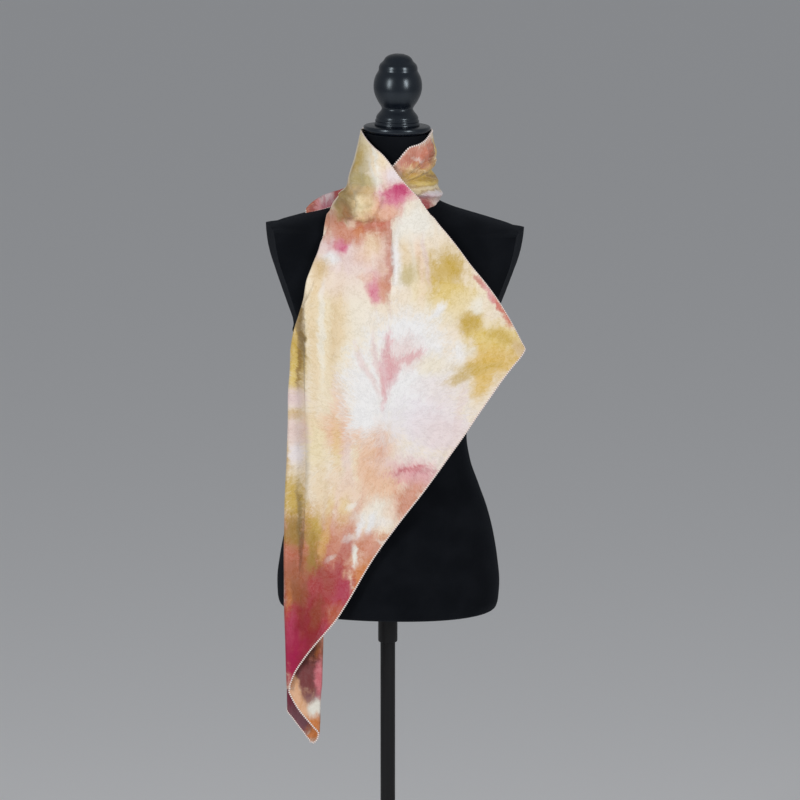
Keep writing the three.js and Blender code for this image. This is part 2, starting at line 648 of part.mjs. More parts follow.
const base = [
  { r: BASE_RADIUS - 2, z: 0 },
  { r: BASE_RADIUS, z: 2 },
  { r: BASE_RADIUS, z: BASE_EDGE - 2 },
  { r: BASE_RADIUS - 3, z: BASE_EDGE },
  { r: BASE_RADIUS / 2, z: BASE_CROWN - 1.5 },
  { r: SOCKET_RADIUS + 12, z: BASE_CROWN },
];
const pole = [
  { r: POLE_RADIUS, z: SOCKET_TOP + SEAT_GAP },
  { r: POLE_RADIUS, z: COLLAR_FOOT - SEAT_GAP },
];
const socket = [
  { r: SOCKET_RADIUS, z: BASE_CROWN + SEAT_GAP },
  { r: SOCKET_RADIUS, z: BASE_CROWN + 10 },
  { r: SOCKET_RADIUS - 5, z: SOCKET_TOP - 4 },
  { r: SOCKET_RADIUS - 7, z: SOCKET_TOP },
];
const collar = [
  { r: COLLAR_RADIUS - 1.5, z: COLLAR_FOOT },
  { r: COLLAR_RADIUS, z: COLLAR_FOOT + 2 },
  { r: COLLAR_RADIUS, z: FORM_FOOT - 2 * SEAT_GAP },
];

const scarfOnForm = new THREE.Group();
scarfOnForm.add(
  formOnPole,
  piece('stand_base', spun(base), BLACK_STEEL),
  piece('stand_socket', spun(socket), BLACK_STEEL),
  piece('stand_pole', spun(pole), BLACK_STEEL),
  piece('stand_collar', spun(collar), BLACK_STEEL),
  piece('scarf_front_panel', frontPanel(), SILK),
  piece('scarf_under_fold', underFold(), SILK),
  piece('scarf_tail', tail(), SILK),
  piece('scarf_neck_left', neckLeft(), SILK),
  piece('scarf_neck_wrap', neckWrap(), SILK),
  piece('scarf_end', endTail(), SILK),
);

export default scarfOnForm;
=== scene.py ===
"""A silk square scarf wound round a dress form: cloth, dye, hems, velvet, turned wood, stand and studio."""

import math

import bpy
import numpy as np
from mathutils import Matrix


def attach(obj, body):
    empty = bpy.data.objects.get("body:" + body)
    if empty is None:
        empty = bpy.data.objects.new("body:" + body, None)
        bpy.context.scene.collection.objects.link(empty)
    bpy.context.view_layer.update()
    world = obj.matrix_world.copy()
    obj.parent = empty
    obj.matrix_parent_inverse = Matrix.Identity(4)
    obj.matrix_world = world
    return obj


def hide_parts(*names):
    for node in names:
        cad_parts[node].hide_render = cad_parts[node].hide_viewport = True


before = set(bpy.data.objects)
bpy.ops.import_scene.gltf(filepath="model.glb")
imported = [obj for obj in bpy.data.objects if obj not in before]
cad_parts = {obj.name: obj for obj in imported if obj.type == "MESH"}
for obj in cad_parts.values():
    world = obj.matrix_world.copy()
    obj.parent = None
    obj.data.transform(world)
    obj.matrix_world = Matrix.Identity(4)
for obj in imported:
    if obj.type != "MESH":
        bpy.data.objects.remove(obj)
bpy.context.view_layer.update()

MM = 0.001
BODY = "root"

# Stand and form, in millimetres as in the part's source
FORM_FOOT = 703
FORM_LEAN = math.radians(1.07)
FOOT_ROUND = 722
NECK_FOOT = 1322
PLATE_FOOT = 1125
PLATE_TOP = 1268
PLATE_TILT = 0.15
PLATE_BACK = 40
DISC_FOOT = 1409
DISC_TOP = 1420
SEAT_GAP = 0.3
POLE_RADIUS = 11
COLLAR_RADIUS = 14.4
COLLAR_FOOT = 649
BASE_RADIUS = 170
BASE_EDGE = 7
BASE_CROWN = 13
SOCKET_RADIUS = 21
SOCKET_TOP = 62

# Cloth
NECK_SEAM = 1300
TAIL_SEAM = 758
CORNER = 1107
NECK_TOP = 1414
FRONT_FOOT = 604.5
TAIL_FOOT = 522
CLOTH_CLEAR = 1.4
NECK_TUCK = 3
WRAP_LAP = 7
PLEAT_RUN = 18
PLEAT_SWING = 20
PLEAT_DEPTH = 2.2
SILK_THICK = 0.5

# Height, half width, reach to the front and back, squareness, and the armhole plate's place
FORM = [
    (703, 150, 93, 101, 2.2, 400),
    (704, 153, 96, 104, 2.2, 400),
    (706, 157.5, 100.5, 108.5, 2.2, 400),
    (710, 161, 104, 112, 2.2, 400),
    (722, 163.5, 107, 117, 2.3, 400),
    (745, 164.5, 108, 120, 2.3, 400),
    (778, 161, 108, 120, 2.3, 400),
    (815, 154.5, 105, 116, 2.3, 400),
    (853, 144.5, 100, 109, 2.2, 400),
    (892, 130, 93, 100, 2.2, 400),
    (928, 117, 87, 92, 2.2, 400),
    (965, 111, 84, 86, 2.2, 400),
    (985, 111.5, 84, 85, 2.2, 400),
    (1020, 118, 88, 87, 2.2, 400),
    (1060, 129, 96, 91, 2.2, 400),
    (1095, 139.5, 107, 95, 2.3, 400),
    (1125, 149.5, 115, 97, 2.4, 149),
    (1145, 157, 118, 98, 2.6, 155),
    (1165, 166, 116, 99, 2.8, 162),
    (1195, 181, 107, 98, 3, 172),
    (1230, 197, 93, 94, 3, 183),
    (1257, 203, 80, 88, 3, 187.5),
    (1268, 203, 74, 84, 3, 188.5),
    (1272, 181, 71, 81, 2.8, 189),
    (1277, 168, 68, 79, 2.7, 400),
    (1282, 152, 65, 76, 2.6, 400),
    (1288.5, 130, 61, 72, 2.5, 400),
    (1295, 107, 57.5, 68, 2.4, 400),
    (1302, 85, 54, 63, 2.2, 400),
    (1311, 65, 51, 58, 2.1, 400),
    (1322, 55, 49, 54, 2, 400),
    (1342, 50, 47.5, 50, 2, 400),
    (1375, 48, 46.5, 48, 2, 400),
    (1408.7, 47, 46, 47, 2, 400),
]

# The stretch round the left of the neck: height, x of its hem, reach to the left and front, angle of its end
NECK_LEFT = [
    (1414, -38.6, 52.5, 52.5, 200),
    (1408, -34, 53.5, 54, 200),
    (1395, -21, 56, 57, 200),
    (1385, -8, 58, 59.5, 200),
    (1371, 4, 61, 61.5, 200),
    (1356, 15, 66, 64, 200),
    (1346, 23, 69, 67, 200),
    (1331, 37, 72, 72, 199),
    (1322, 45.5, 81.5, 76, 188),
    (1315, 51.5, 89, 79, 176),
    (1308, 56.5, 97, 82, 167),
    (NECK_SEAM, 62.5, 104, 85, 160),
]

# The hanging cloth: height, x of the right hem, front fold and outer left fold, and the curve of its front
PANEL = [
    (NECK_SEAM, 62.5, -87, -87, 104, 85, 2),
    (1294, 67.5, -89, -89, 116, 87, 2.1),
    (1286, 74, -91.5, -91.5, 136, 90, 2.2),
    (1276, 83, -94, -94, 156, 94, 2.2),
    (1254, 101.5, -98, -98.5, 190, 103, 2.3),
    (1231, 119, -108, -108, 208, 112, 2.4),
    (1208, 138, -117, -117, 220, 118, 2.4),
    (1185, 155, -119.5, -120.5, 228, 120.5, 2.4),
    (1161, 170, -120, -127.5, 234, 121, 2.4),
    (1136, 183.5, -120, -135, 238, 121, 2.4),
    (1114, 194.5, -120.5, -139, 240, 121, 2.4),
    (CORNER, 198, -120.5, -140, 240, 121, 2.4),
    (1099, 194, -120.5, -140.5, 240, 121, 2.4),
    (1083, 180, -120.5, -141, 240, 121, 2.4),
    (1061, 162.5, -120.5, -142.5, 240, 121, 2.4),
    (1039, 146.5, -120, -144, 240, 121, 2.4),
    (994, 115.5, -119.5, -145, 243, 120.5, 2.4),
    (949, 84, -119.5, -146.5, 246, 120, 2.4),
    (903, 51, -120, -149, 250, 120, 2.4),
    (856, 15, -121.5, -150.5, 254, 120, 2.4),
    (808, -19, -125, -151, 258, 119.5, 2.4),
    (783, -34, -127.5, -151, 260, 119, 2.4),
    (TAIL_SEAM, -48, -130, -151, 262, 119, 2.4),
    (736, -60.5, -130, -151, 262, 119, 2.4),
    (711, -76, -130, -150.5, 262, 119, 2.4),
    (687, -95.5, -130, -150, 262, 119, 2.4),
    (667, -111.5, -130, -149.5, 262, 119, 2.4),
    (651, -123, -130, -149, 262, 119, 2.4),
    (629, -136.5, -130, -148.5, 262, 119, 2.4),
    (611, -143.5, -130, -148, 262, 119, 2.4),
]
# The hem past the outer left fold, where it runs on the second layer
SECOND_HEM = [
    (598, -144.5),
    (584, -137.5),
    (570, -128.5),
    (558, -118.5),
    (547, -109),
    (537, -101.5),
    (530, -102),
    (525, -104.8),
    (522, -108.5),
]
# The stack behind the left edge: the pleat's fold, space between layers, width, cloth past the outer fold
STACK = [
    (NECK_SEAM, 0, 3, 10, 4),
    (1276, 0, 3, 10, 4),
    (1231, 0, 3, 10, 5),
    (1208, 0.1, 3, 12, 6),
    (1185, 0.4, 3, 14, 8),
    (1161, 0.75, 3.2, 18, 10),
    (1136, 0.9, 3.6, 22, 14),
    (1114, 0.95, 4, 26, 22),
    (1083, 1, 4.8, 34, 44),
    (1061, 1, 5.2, 38, 64),
    (1039, 1, 5.5, 41, 92),
    (994, 1, 6, 45, 132),
    (949, 1, 6, 48, 142),
    (903, 0.9, 6.3, 51, 148),
    (856, 0.7, 6.6, 53, 150),
    (808, 0.35, 7, 55, 152),
    (783, 0.17, 7.2, 55.5, 153),
    (TAIL_SEAM, 0, 7.4, 56, 154),
    (736, 0, 7.6, 57, 155),
    (711, 0, 7.8, 57, 156),
    (687, 0, 8, 56, 157),
    (667, 0, 8, 55, 156),
    (651, 0, 8, 54, 155),
    (629, 0, 8, 53, 152),
    (611, 0, 8, 52, 142),
    (598, 0, 8, 50.5, 126),
    (584, 0, 8, 49.5, 114),
    (570, 0, 8, 49, 107),
    (558, 0, 8, 49, 97.5),
    (547, 0, 8, 48.5, 88),
    (537, 0, 8, 48, 79),
    (530, 0, 8, 45.5, 69),
    (525, 0, 8, 42.7, 59),
    (522, 0, 8, 39, 51),
]

# The stretch round the back and right of the neck: top and bottom edge at each angle from the right
WRAP_EDGES = [
    (-160, 1413.5, 1312),
    (-130, 1411, 1312),
    (-90, 1409, 1313),
    (-50, 1411, 1314),
    (-20, 1412.5, 1315),
    (0, 1412.5, 1315),
    (15, 1411, 1308),
    (26, 1406.5, 1301),
    (38, 1401, 1296.5),
    (52, 1397, 1297),
    (68, 1394, 1308),
    (78, 1386, 1319),
    (86, 1377, 1323),
    (110, 1356, 1320),
    (140, 1338, 1313),
]
# Its gathers from the bottom edge up: reach from the neck's middle at the right, back and under the panel
WRAP_ROLLS = [
    (0, 66, 66, 57),
    (0.07, 65.5, 69.5, 59.5),
    (0.14, 63.5, 67.5, 58.5),
    (0.22, 61, 66.5, 57.5),
    (0.34, 56.3, 65, 55.5),
    (0.44, 50.6, 62, 53),
    (0.53, 54.5, 59.5, 52),
    (0.67, 58.3, 58.5, 54),
    (0.83, 54, 55, 53),
    (0.93, 52, 52.6, 51.2),
    (1, 50.8, 52, 50.6),
]

# The free end on the left shoulder: x, ridge over the shoulder, half width
FREE_END = [
    (-62, 19, 10),
    (-72, 20, 11),
    (-80, 21.5, 12),
    (-89, 22, 12),
    (-98, 20.5, 11),
    (-106, 17, 9),
    (-113, 12, 6.5),
    (-118, 7, 4),
    (-121, 3, 2),
]

# Soft folds down the chest: x at the neck, run to the side, width, height, upper and lower end
CHEST_FOLDS = [
    (20, 0.02, 13, 4.5, 1310, 1120),
    (-18, -0.2, 12, -3.5, 1300, 1150),
    (-48, -0.3, 11, 3.5, 1300, 1120),
    (46, 0.45, 13, -2.5, 1290, 1100),
]

# Creases placed on the cloth's own coordinates: from and to (across, up), bow, width and height
PANEL_CREASES = [
    (-62, 1342, -54, 1298, 5, 4.4, -10),
    (-56, 1302, -18, 1302, -4, 3.8, -8),
    (-22, 1304, -10, 1334, -4, 4.2, -4.5),
    (-44, 1318, -30, 1321, 2, 13, 8),
    (-76, 1330, -70, 1302, 2, 7, 4.5),
    (-58, 1340, -26, 1334, 5, 4, -3),
    (-50, 1300, -14, 1296, 3, 6, 2.2),
    (-26, 1372, -8, 1318, 4, 4, 1.5),
    (-36, 1352, -20, 1314, 6, 4, -1.6),
    (4, 1350, -6, 1290, -5, 5, 1.4),
    (20, 1330, 4, 1268, -6, 5, -1.4),
    (2, 1290, 4, 1190, 1, 3.4, -2.4),
    (14, 1296, 18, 1206, -2, 4.5, 2.4),
    (30, 1290, 44, 1190, 4, 5, -1.5),
    (52, 1282, 80, 1196, 5, 6, 1.5),
    (-30, 1288, -14, 1200, 8, 6, 1.6),
    (-66, 1284, -58, 1222, 4, 6, -1.4),
    (-78, 1262, -92, 1190, -3, 5, 1.5),
    (-96, 1214, -112, 1130, -5, 5, 1.3),
    (-84, 1180, -88, 1050, 4, 7, -1.3),
    (-60, 1160, -70, 1010, 6, 8, 1.2),
    (-30, 1120, -48, 960, 8, 9, -1.2),
    (20, 1130, -10, 980, 10, 10, 1.0),
    (70, 1150, 40, 1010, 10, 9, -1.1),
    (110, 1160, 92, 1050, 8, 8, 1.1),
    (150, 1140, 128, 1080, 5, 7, -1.0),
    (78, 1016, -10, 900, 9, 6, -1.5),
    (92, 996, 20, 880, 8, 5, 1.4),
    (40, 950, -40, 800, 10, 6, 1.5),
    (18, 930, -62, 790, 12, 7, -1.5),
    (-14, 860, -84, 700, 9, 6, 1.3),
    (-40, 850, -104, 690, 10, 6, -1.4),
    (-78, 960, -96, 800, 6, 7, 1.4),
    (-92, 940, -112, 780, 4, 5, -1.5),
    (-100, 830, -124, 690, 5, 5, 1.3),
    (-112, 870, -134, 720, 4, 4, -1.2),
    (-66, 770, -120, 650, 6, 5, 1.3),
    (-84, 740, -132, 640, 5, 4, -1.2),
    (-136, 760, -140, 640, 2, 4, 1.0),
    (-162, 600, -190, 545, 4, 5, 1.4),
    (-172, 640, -186, 570, 3, 5, -1.3),
    (-214, 600, -236, 548, 3, 5, 1.2),
]
WRAP_CREASES = [
    (80, 1352, 16, 1396, -5, 4.2, 2.6),
    (80, 1348, 6, 1380, -5, 3.4, -4.2),
    (80, 1346, -2, 1366, -3, 3.6, 3.6),
    (80, 1343, -4, 1353, -2, 2.8, -3.6),
    (80, 1340, -8, 1341, 1, 3.2, 3.0),
    (80, 1336, -8, 1330, 3, 2.8, -3.4),
    (78, 1332, -10, 1321, 4, 3.2, 3.2),
    (74, 1326, 4, 1311, 4, 2.6, -2.6),
    (34, 1398, 24, 1362, 3, 3.4, -3.4),
    (24, 1402, 14, 1368, 3, 3.6, 2.4),
    (12, 1404, 4, 1372, 2, 3.2, -2.4),
    (-30, 1400, -60, 1340, 9, 6, -2.6),
    (-58, 1396, -92, 1334, 8, 6, 2.4),
    (-96, 1398, -120, 1330, -7, 7, -2.4),
    (-128, 1390, -150, 1326, 6, 6, 2.4),
    (-30, 1352, -150, 1362, 10, 4, -2.8),
    (-40, 1330, -170, 1334, -6, 4, 2.6),
    (-10, 1380, -140, 1384, 7, 4, 2.0),
    (-20, 1342, -160, 1346, -5, 3.6, -2.4),
]


def curve(at, value):
    """A smooth curve through the values that never overshoots them."""
    step = np.diff(at)
    slope = np.diff(value) / step
    before = np.r_[slope[:1], slope]
    after = np.r_[slope, slope[-1:]]
    same = before * after > 0
    lean = np.where(same, 2 * before * after / np.where(same, before + after, 1), 0)

    def read(place):
        place = np.clip(place, at[0], at[-1])
        i = np.clip(np.searchsorted(at, place) - 1, 0, len(step) - 1)
        t = (place - at[i]) / step[i]
        turn = step[i] * (lean[i] * t * (1 - t) ** 2 - lean[i + 1] * t**2 * (1 - t))
        return value[i] + (value[i + 1] - value[i]) * t * t * (3 - 2 * t) + turn

    return read


def curves(rows):
    """Every column of a table as a curve over its first column."""
    data = np.array(sorted(rows), float)
    return [curve(data[:, 0], data[:, n]) for n in range(1, data.shape[1])]


def smooth(low, high, value):
    t = np.clip((value - low) / (high - low), 0, 1)
    return t * t * (3 - 2 * t)


def leaning(z):
    """Where the middle of the leaning form stands at a height."""
    return (z - FORM_FOOT) * math.sin(FORM_LEAN)


form_half, form_front, form_back, form_square, form_side = curves(FORM)


def form_share(x, y, z):
    """1 on the form's surface at that height, more outside it."""
    reach = np.where(y < 0, form_front(z), form_back(z))
    square = form_square(z)
    across = np.abs(x - leaning(z)) / form_half(z)
    return (across**square + (np.abs(y) / reach) ** square) ** (1 / square)


def clear_of_form(places, gap):
    """Moves places out of the form, level, until they are that far from it."""
    x, y, z = places[..., 0], places[..., 1], places[..., 2]
    middle = leaning(z)
    share = np.maximum(form_share(x, y, z), 0.2)
    reach = np.hypot(x - middle, y)
    need = np.where(z < DISC_FOOT, np.maximum(reach / share + gap - reach, 0), 0)
    scale = 1 + need / np.maximum(reach, 1)
    return np.stack([middle + (x - middle) * scale, y * scale, z], -1)


def creased(creases, across, up):
    """Height of the listed creases over the smooth cloth, each a soft trough or ridge with a low lip."""
    height = np.zeros_like(across)
    for x1, z1, x2, z2, bow, width, tall in creases:
        run = np.array([x2 - x1, z2 - z1], float)
        length = np.hypot(*run)
        run /= length
        along = ((across - x1) * run[0] + (up - z1) * run[1]) / length
        beside = -(across - x1) * run[1] + (up - z1) * run[0]
        beside = beside - bow * 4 * along * (1 - along)
        fade = smooth(-0.12, 0.3, along) * (1 - smooth(0.7, 1.15, along))
        wide = width * (0.75 + 0.5 * np.clip(along, 0, 1))
        body = np.exp(-((beside / wide) ** 2))
        lip = np.exp(-(((beside - 1.9 * wide) / (1.1 * wide)) ** 2))
        height += tall * fade * (body - 0.4 * lip)
    return height


def chest_folds(x, z):
    out = 0
    for top, run, width, height, start, end in CHEST_FOLDS:
        down = np.clip((start - z) / (start - end), 0, 1)
        near = (x - top - run * (start - z)) / (width * (1 + down))
        out = out + height * np.sin(math.pi * down) * np.exp(-near * near)
    return out


def spaced(start, end, count):
    return np.linspace(start, end, count)


def way_out(grid):
    """The cloth's own direction outwards at each place of a grid."""
    down = np.gradient(grid, axis=0)
    across = np.gradient(grid, axis=1)
    out = np.cross(across, down)
    return out / np.maximum(np.linalg.norm(out, axis=-1, keepdims=True), 1e-9)


# Hanging cloth
hem_at, fold_at, strip_at, wide_at, deep_at, square_at = curves(PANEL)
pleat_at, space_at, stack_at, rest_at = curves(STACK)
second_hem_at = curves(SECOND_HEM)[0]
neck_hem_at, neck_wide_at, neck_deep_at, neck_end_at = curves(NECK_LEFT)

FRONT_COLUMNS = 108
PLEAT_COLUMNS = 26
TURN_COLUMNS = 7
FLAT_COLUMNS = 5
LAYERS = 4


def pleat_middle(fold, strip, space, pleat):
    swing = PLEAT_SWING * pleat
    pull = PLEAT_RUN / (2 * math.pi * max(swing, 1e-6))
    if pull >= 1:
        return max(fold - strip - space / 2, PLEAT_RUN / 2)
    turn = 2 * math.pi - math.acos(-pull)
    lift = -swing * math.sin(turn) - PLEAT_RUN * (turn / (2 * math.pi) - 0.5)
    return max(fold - strip - space / 2 + lift, PLEAT_RUN / 2)


def hanging_row(z):
    """Places and cloth coordinates of one level row, from the right hem to the end of the stack."""
    strip, fold = float(strip_at(z)), float(fold_at(z))
    pleat, space = float(pleat_at(z)), float(space_at(z))
    stack, rest = float(stack_at(z)), float(rest_at(z))
    bend = math.pi * space / 4
    centre = pleat_middle(fold, strip, space, pleat)
    if z > FRONT_FOOT:
        start = -bend - (float(hem_at(z)) - strip - space / 2)
    else:
        start = bend + float(second_hem_at(z)) - strip - space / 2
    flat = -bend - centre - PLEAT_RUN / 2 - 2
    lap = stack - space + 2 * bend
    steps = [spaced(min(start, flat), flat, FRONT_COLUMNS), spaced(flat, -bend, PLEAT_COLUMNS)[1:]]
    for layer in range(LAYERS):
        turn = spaced(-bend, bend, TURN_COLUMNS) + layer * lap
        straight = spaced(bend, lap - bend, FLAT_COLUMNS + 2)[1:-1] + layer * lap
        steps += [turn[1:] if layer == 0 else turn, straight]
    length = np.clip(np.concatenate(steps), start, rest)
    run = -length - bend
    share = np.clip((run - centre) / PLEAT_RUN + 0.5, 0, 1)
    wave = np.sin(2 * math.pi * share)
    depth = PLEAT_DEPTH * space * pleat
    turns = np.floor((length + bend) / lap)
    left = length + bend - turns * lap
    angle = np.minimum(left / (space / 2), math.pi)
    inward = space / 2 - space / 2 * np.sin(angle) + np.maximum(left - 2 * bend, 0)
    uneven = 0.16 * space * np.sin(z / 31 + 1.9 * turns) * (turns > 0)
    behind = depth + space * (turns + (1 - np.cos(angle)) / 2) + uneven
    front = length < -bend
    stacked = np.where(turns % 2 == 0, inward, stack - inward)
    across = np.where(front, space / 2 + run + PLEAT_SWING * pleat * wave, stacked)
    back = np.where(front, depth * (1 - share + wave / (2 * math.pi)), behind)
    x = strip + across
    share_wide = np.minimum(np.abs(x - leaning(z)) / wide_at(z), 0.9999)
    square = square_at(z)
    y = -deep_at(z) * (1 - share_wide**square) ** (1 / square) - chest_folds(x, z) + back
    return np.stack([x, y, np.full_like(x, z)], -1), strip + space / 2 + run


def neck_row(z, count):
    """The same columns on the stretch round the left of the neck, open round the side."""
    middle = leaning(z)
    below = z < NECK_SEAM
    if below:
        hem, wide, deep = float(hem_at(z)), float(wide_at(z)), float(deep_at(z))
        end = math.degrees(math.acos((float(strip_at(z)) - middle) / wide))
        square = float(square_at(z))
    else:
        hem, wide, deep = float(neck_hem_at(z)), float(neck_wide_at(z)), float(neck_deep_at(z))
        end = float(neck_end_at(z))
        square = 2
    start = math.degrees(math.acos((hem - middle) / wide))
    left = max(112 + 20 * (1 - smooth(NECK_SEAM, 1360, z)), start + 14)
    side = 165 - 12 * (1 - smooth(NECK_SEAM, 1330, z))
    if below:
        side = min(side, end - 7)
        left = min(left, side - 12)
    angle = np.concatenate([
        spaced(start, left, FRONT_COLUMNS),
        spaced(left, side, PLEAT_COLUMNS)[1:],
        spaced(side, end, count - FRONT_COLUMNS - PLEAT_COLUMNS + 2)[1:],
    ])
    turn = np.radians(angle)
    share = np.minimum(np.abs(np.cos(turn)), 0.9999)
    front = -deep * (1 - share**square) ** (1 / square)
    if not below:
        wide = wide - NECK_TUCK * smooth(184, end, angle)
    x = middle + wide * np.cos(turn)
    y = np.where(np.sin(turn) > 0, front, -wide * np.sin(turn))
    y = y - np.where(angle < 180, chest_folds(x, z), 0)
    across = x - np.maximum(y + 0.35 * deep, 0)
    return np.stack([x, y, np.full_like(x, z)], -1), across


GATHER_FOOT = 1258


def hanging_cloth():
    """The fine grid of the neck's left, the panel, the pleat and the tail as one cloth."""
    heights = np.unique(np.concatenate([
        spaced(TAIL_FOOT, FRONT_FOOT - 0.5, 44),
        spaced(FRONT_FOOT + 0.5, TAIL_SEAM, 38),
        spaced(TAIL_SEAM, CORNER, 84),
        spaced(CORNER, NECK_SEAM, 52),
        spaced(NECK_SEAM, NECK_TOP, 40),
    ]))[::-1]
    rows, across, drawn = [], [], []
    for z in heights:
        low, low_across = hanging_row(min(z, NECK_SEAM))
        seen = np.arange(len(low)) < FRONT_COLUMNS + PLEAT_COLUMNS - 1
        low_drawn = np.where(seen, low[:, 0], low_across)
        if z > GATHER_FOOT:
            high, high_across = neck_row(z, len(low))
            share = smooth(GATHER_FOOT, NECK_SEAM, z)
            low = high * share + low * (1 - share)
            low_across = high_across * share + low_across * (1 - share)
            low_drawn = high_across * share + low_drawn * (1 - share)
            low[:, 2] = z
        rows.append(low)
        across.append(low_across)
        drawn.append(low_drawn)
    grid, across, drawn = np.array(rows), np.array(across), np.array(drawn)
    up = np.repeat(heights[:, None], across.shape[1], 1)
    shown = np.ones(grid.shape[1])
    past = np.arange(grid.shape[1]) - (FRONT_COLUMNS + PLEAT_COLUMNS)
    shown[past > 0] = 0.6
    height = creased(PANEL_CREASES, across, up) * shown
    height += 0.5 * np.sin(across / 9 + up / 23) * np.sin(up / 31 - across / 47) * shown
    grid = grid + way_out(grid) * height[..., None]
    front = np.arange(grid.shape[1]) < FRONT_COLUMNS
    grid[:, front] = clear_of_form(grid[:, front], CLOTH_CLEAR)
    return grid, drawn, up


WRAP_START = -160
WRAP_END = 140
WRAP_LEAST = 49
WRAP_PER_RADIAN = 60


def wrap_cloth():
    """The gathered stretch round the back and right of the neck."""
    top_at, bottom_at = curves(WRAP_EDGES)
    right_at, back_at, under_at = curves(WRAP_ROLLS)
    angle = spaced(WRAP_START, WRAP_END, 240)
    ups = spaced(0, 1, 64)
    middle_angle = angle[None, :]
    behind = smooth(20, 110, -middle_angle)
    under = smooth(30, 90, middle_angle)
    up = ups[:, None]
    reach = right_at(up) * (1 - behind - under) + back_at(up) * behind + under_at(up) * under
    bottom = bottom_at(angle)
    turn = np.radians(angle)
    foot_reach = reach[0]
    for n, (a, r) in enumerate(zip(turn, foot_reach)):
        bottom[n] = max(bottom[n], shoulder(leaning(bottom[n]) + math.cos(a) * r, -math.sin(a) * r) + 1.1)
    z = bottom[None, :] + (top_at(angle) - bottom)[None, :] * up
    across = np.repeat((WRAP_PER_RADIAN * turn)[None, :], len(ups), 0)
    lap = 1 - smooth(-157, -118, middle_angle)
    room = np.clip(neck_wide_at(z) - NECK_TUCK - 1.6 - reach, 0, WRAP_LAP)
    height = creased(WRAP_CREASES, across, z) * smooth(0, 0.08, 1 - up)
    bent = reach + room * lap + height * (1 - lap)
    bent = np.maximum(bent, WRAP_LEAST)
    x = leaning(z) + bent * np.cos(turn)[None, :]
    y = -bent * np.sin(turn)[None, :]
    return np.stack([x, y, z], -1), across, z


def shoulder(x, y):
    """The height of the form's shoulder under a place."""
    low, high = 1257.0, DISC_FOOT - 1.0
    while high - low > 0.05:
        mid = (low + high) / 2
        if form_share(x, y, mid) < 1:
            low = mid
        else:
            high = mid
    return high


TIP_START = -62
TIP_END = -119
TIP_MIDDLE = 13


def free_end():
    ridge_at, half_at = curves(FREE_END)
    xs = spaced(TIP_START, TIP_END, 40)
    side = spaced(-1, 1, 30)
    rows, across = [], []
    for x in xs:
        y = TIP_MIDDLE + side * float(half_at(x))
        floor = np.array([shoulder(x, value) for value in y]) + CLOTH_CLEAR
        rise = np.cos(math.pi / 2 * side) ** 1.5
        folds = 1.5 * np.sin(side * 5 + x / 12) * np.cos(math.pi / 2 * side)
        z = floor + float(ridge_at(x)) * rise * 0.95 + np.maximum(folds, -0.8)
        rows.append(np.stack([np.full_like(y, x), y, z], -1))
        across.append(y)
    grid = np.array(rows)
    return grid, grid[..., 0], np.array(across)


# Making
def deselect():
    bpy.ops.object.select_all(action="DESELECT")


def select(piece):
    deselect()
    piece.select_set(True)
    bpy.context.view_layer.objects.active = piece


def mesh_piece(name, places, faces):
    mesh = bpy.data.meshes.new(name)
    mesh.from_pydata([tuple(p) for p in places], [], faces)
    mesh.validate()
    piece = bpy.data.objects.new(name, mesh)
    bpy.context.scene.collection.objects.link(piece)
    return piece


def grid_faces(rows, columns, closed=False):
    last = columns if closed else columns - 1
    faces = []
    for i in range(rows - 1):
        for j in range(last):
            here = i * columns + j
            beside = i * columns + (j + 1) % columns
            faces.append((here, beside, beside + columns, here + columns))
    return faces


def sewn_cloth(name, grid, across, up, inward=False):
    """A thin closed cloth from a grid, with the cloth's own coordinates as its UV map, in metres."""
    rows, columns = grid.shape[:2]
    faces = grid_faces(rows, columns)
    if inward:
        faces = [face[::-1] for face in faces]
    piece = mesh_piece(name, (grid * MM).reshape(-1, 3), faces)
    layer = piece.data.uv_layers.new(name="cloth")
    flat = np.stack([across, up], -1).reshape(-1, 2) * MM
    corners = np.zeros(len(piece.data.loops), int)
    piece.data.loops.foreach_get("vertex_index", corners)
    layer.data.foreach_set("uv", flat[corners].ravel())
    select(piece)
    bpy.ops.object.mode_set(mode="EDIT")
    bpy.ops.mesh.select_all(action="SELECT")
    bpy.ops.mesh.remove_doubles(threshold=0.00002)
    bpy.ops.object.mode_set(mode="OBJECT")
    thick = piece.modifiers.new("thickness", "SOLIDIFY")
    thick.thickness = SILK_THICK * MM
    thick.offset = 0
    thick.use_even_offset = False
    bpy.ops.object.modifier_apply(modifier=thick.name)
    bpy.ops.object.shade_smooth()
    return piece


STITCH_PARTS = 5
HEM_SIDES = 7
HEM_FLATNESS = 0.8


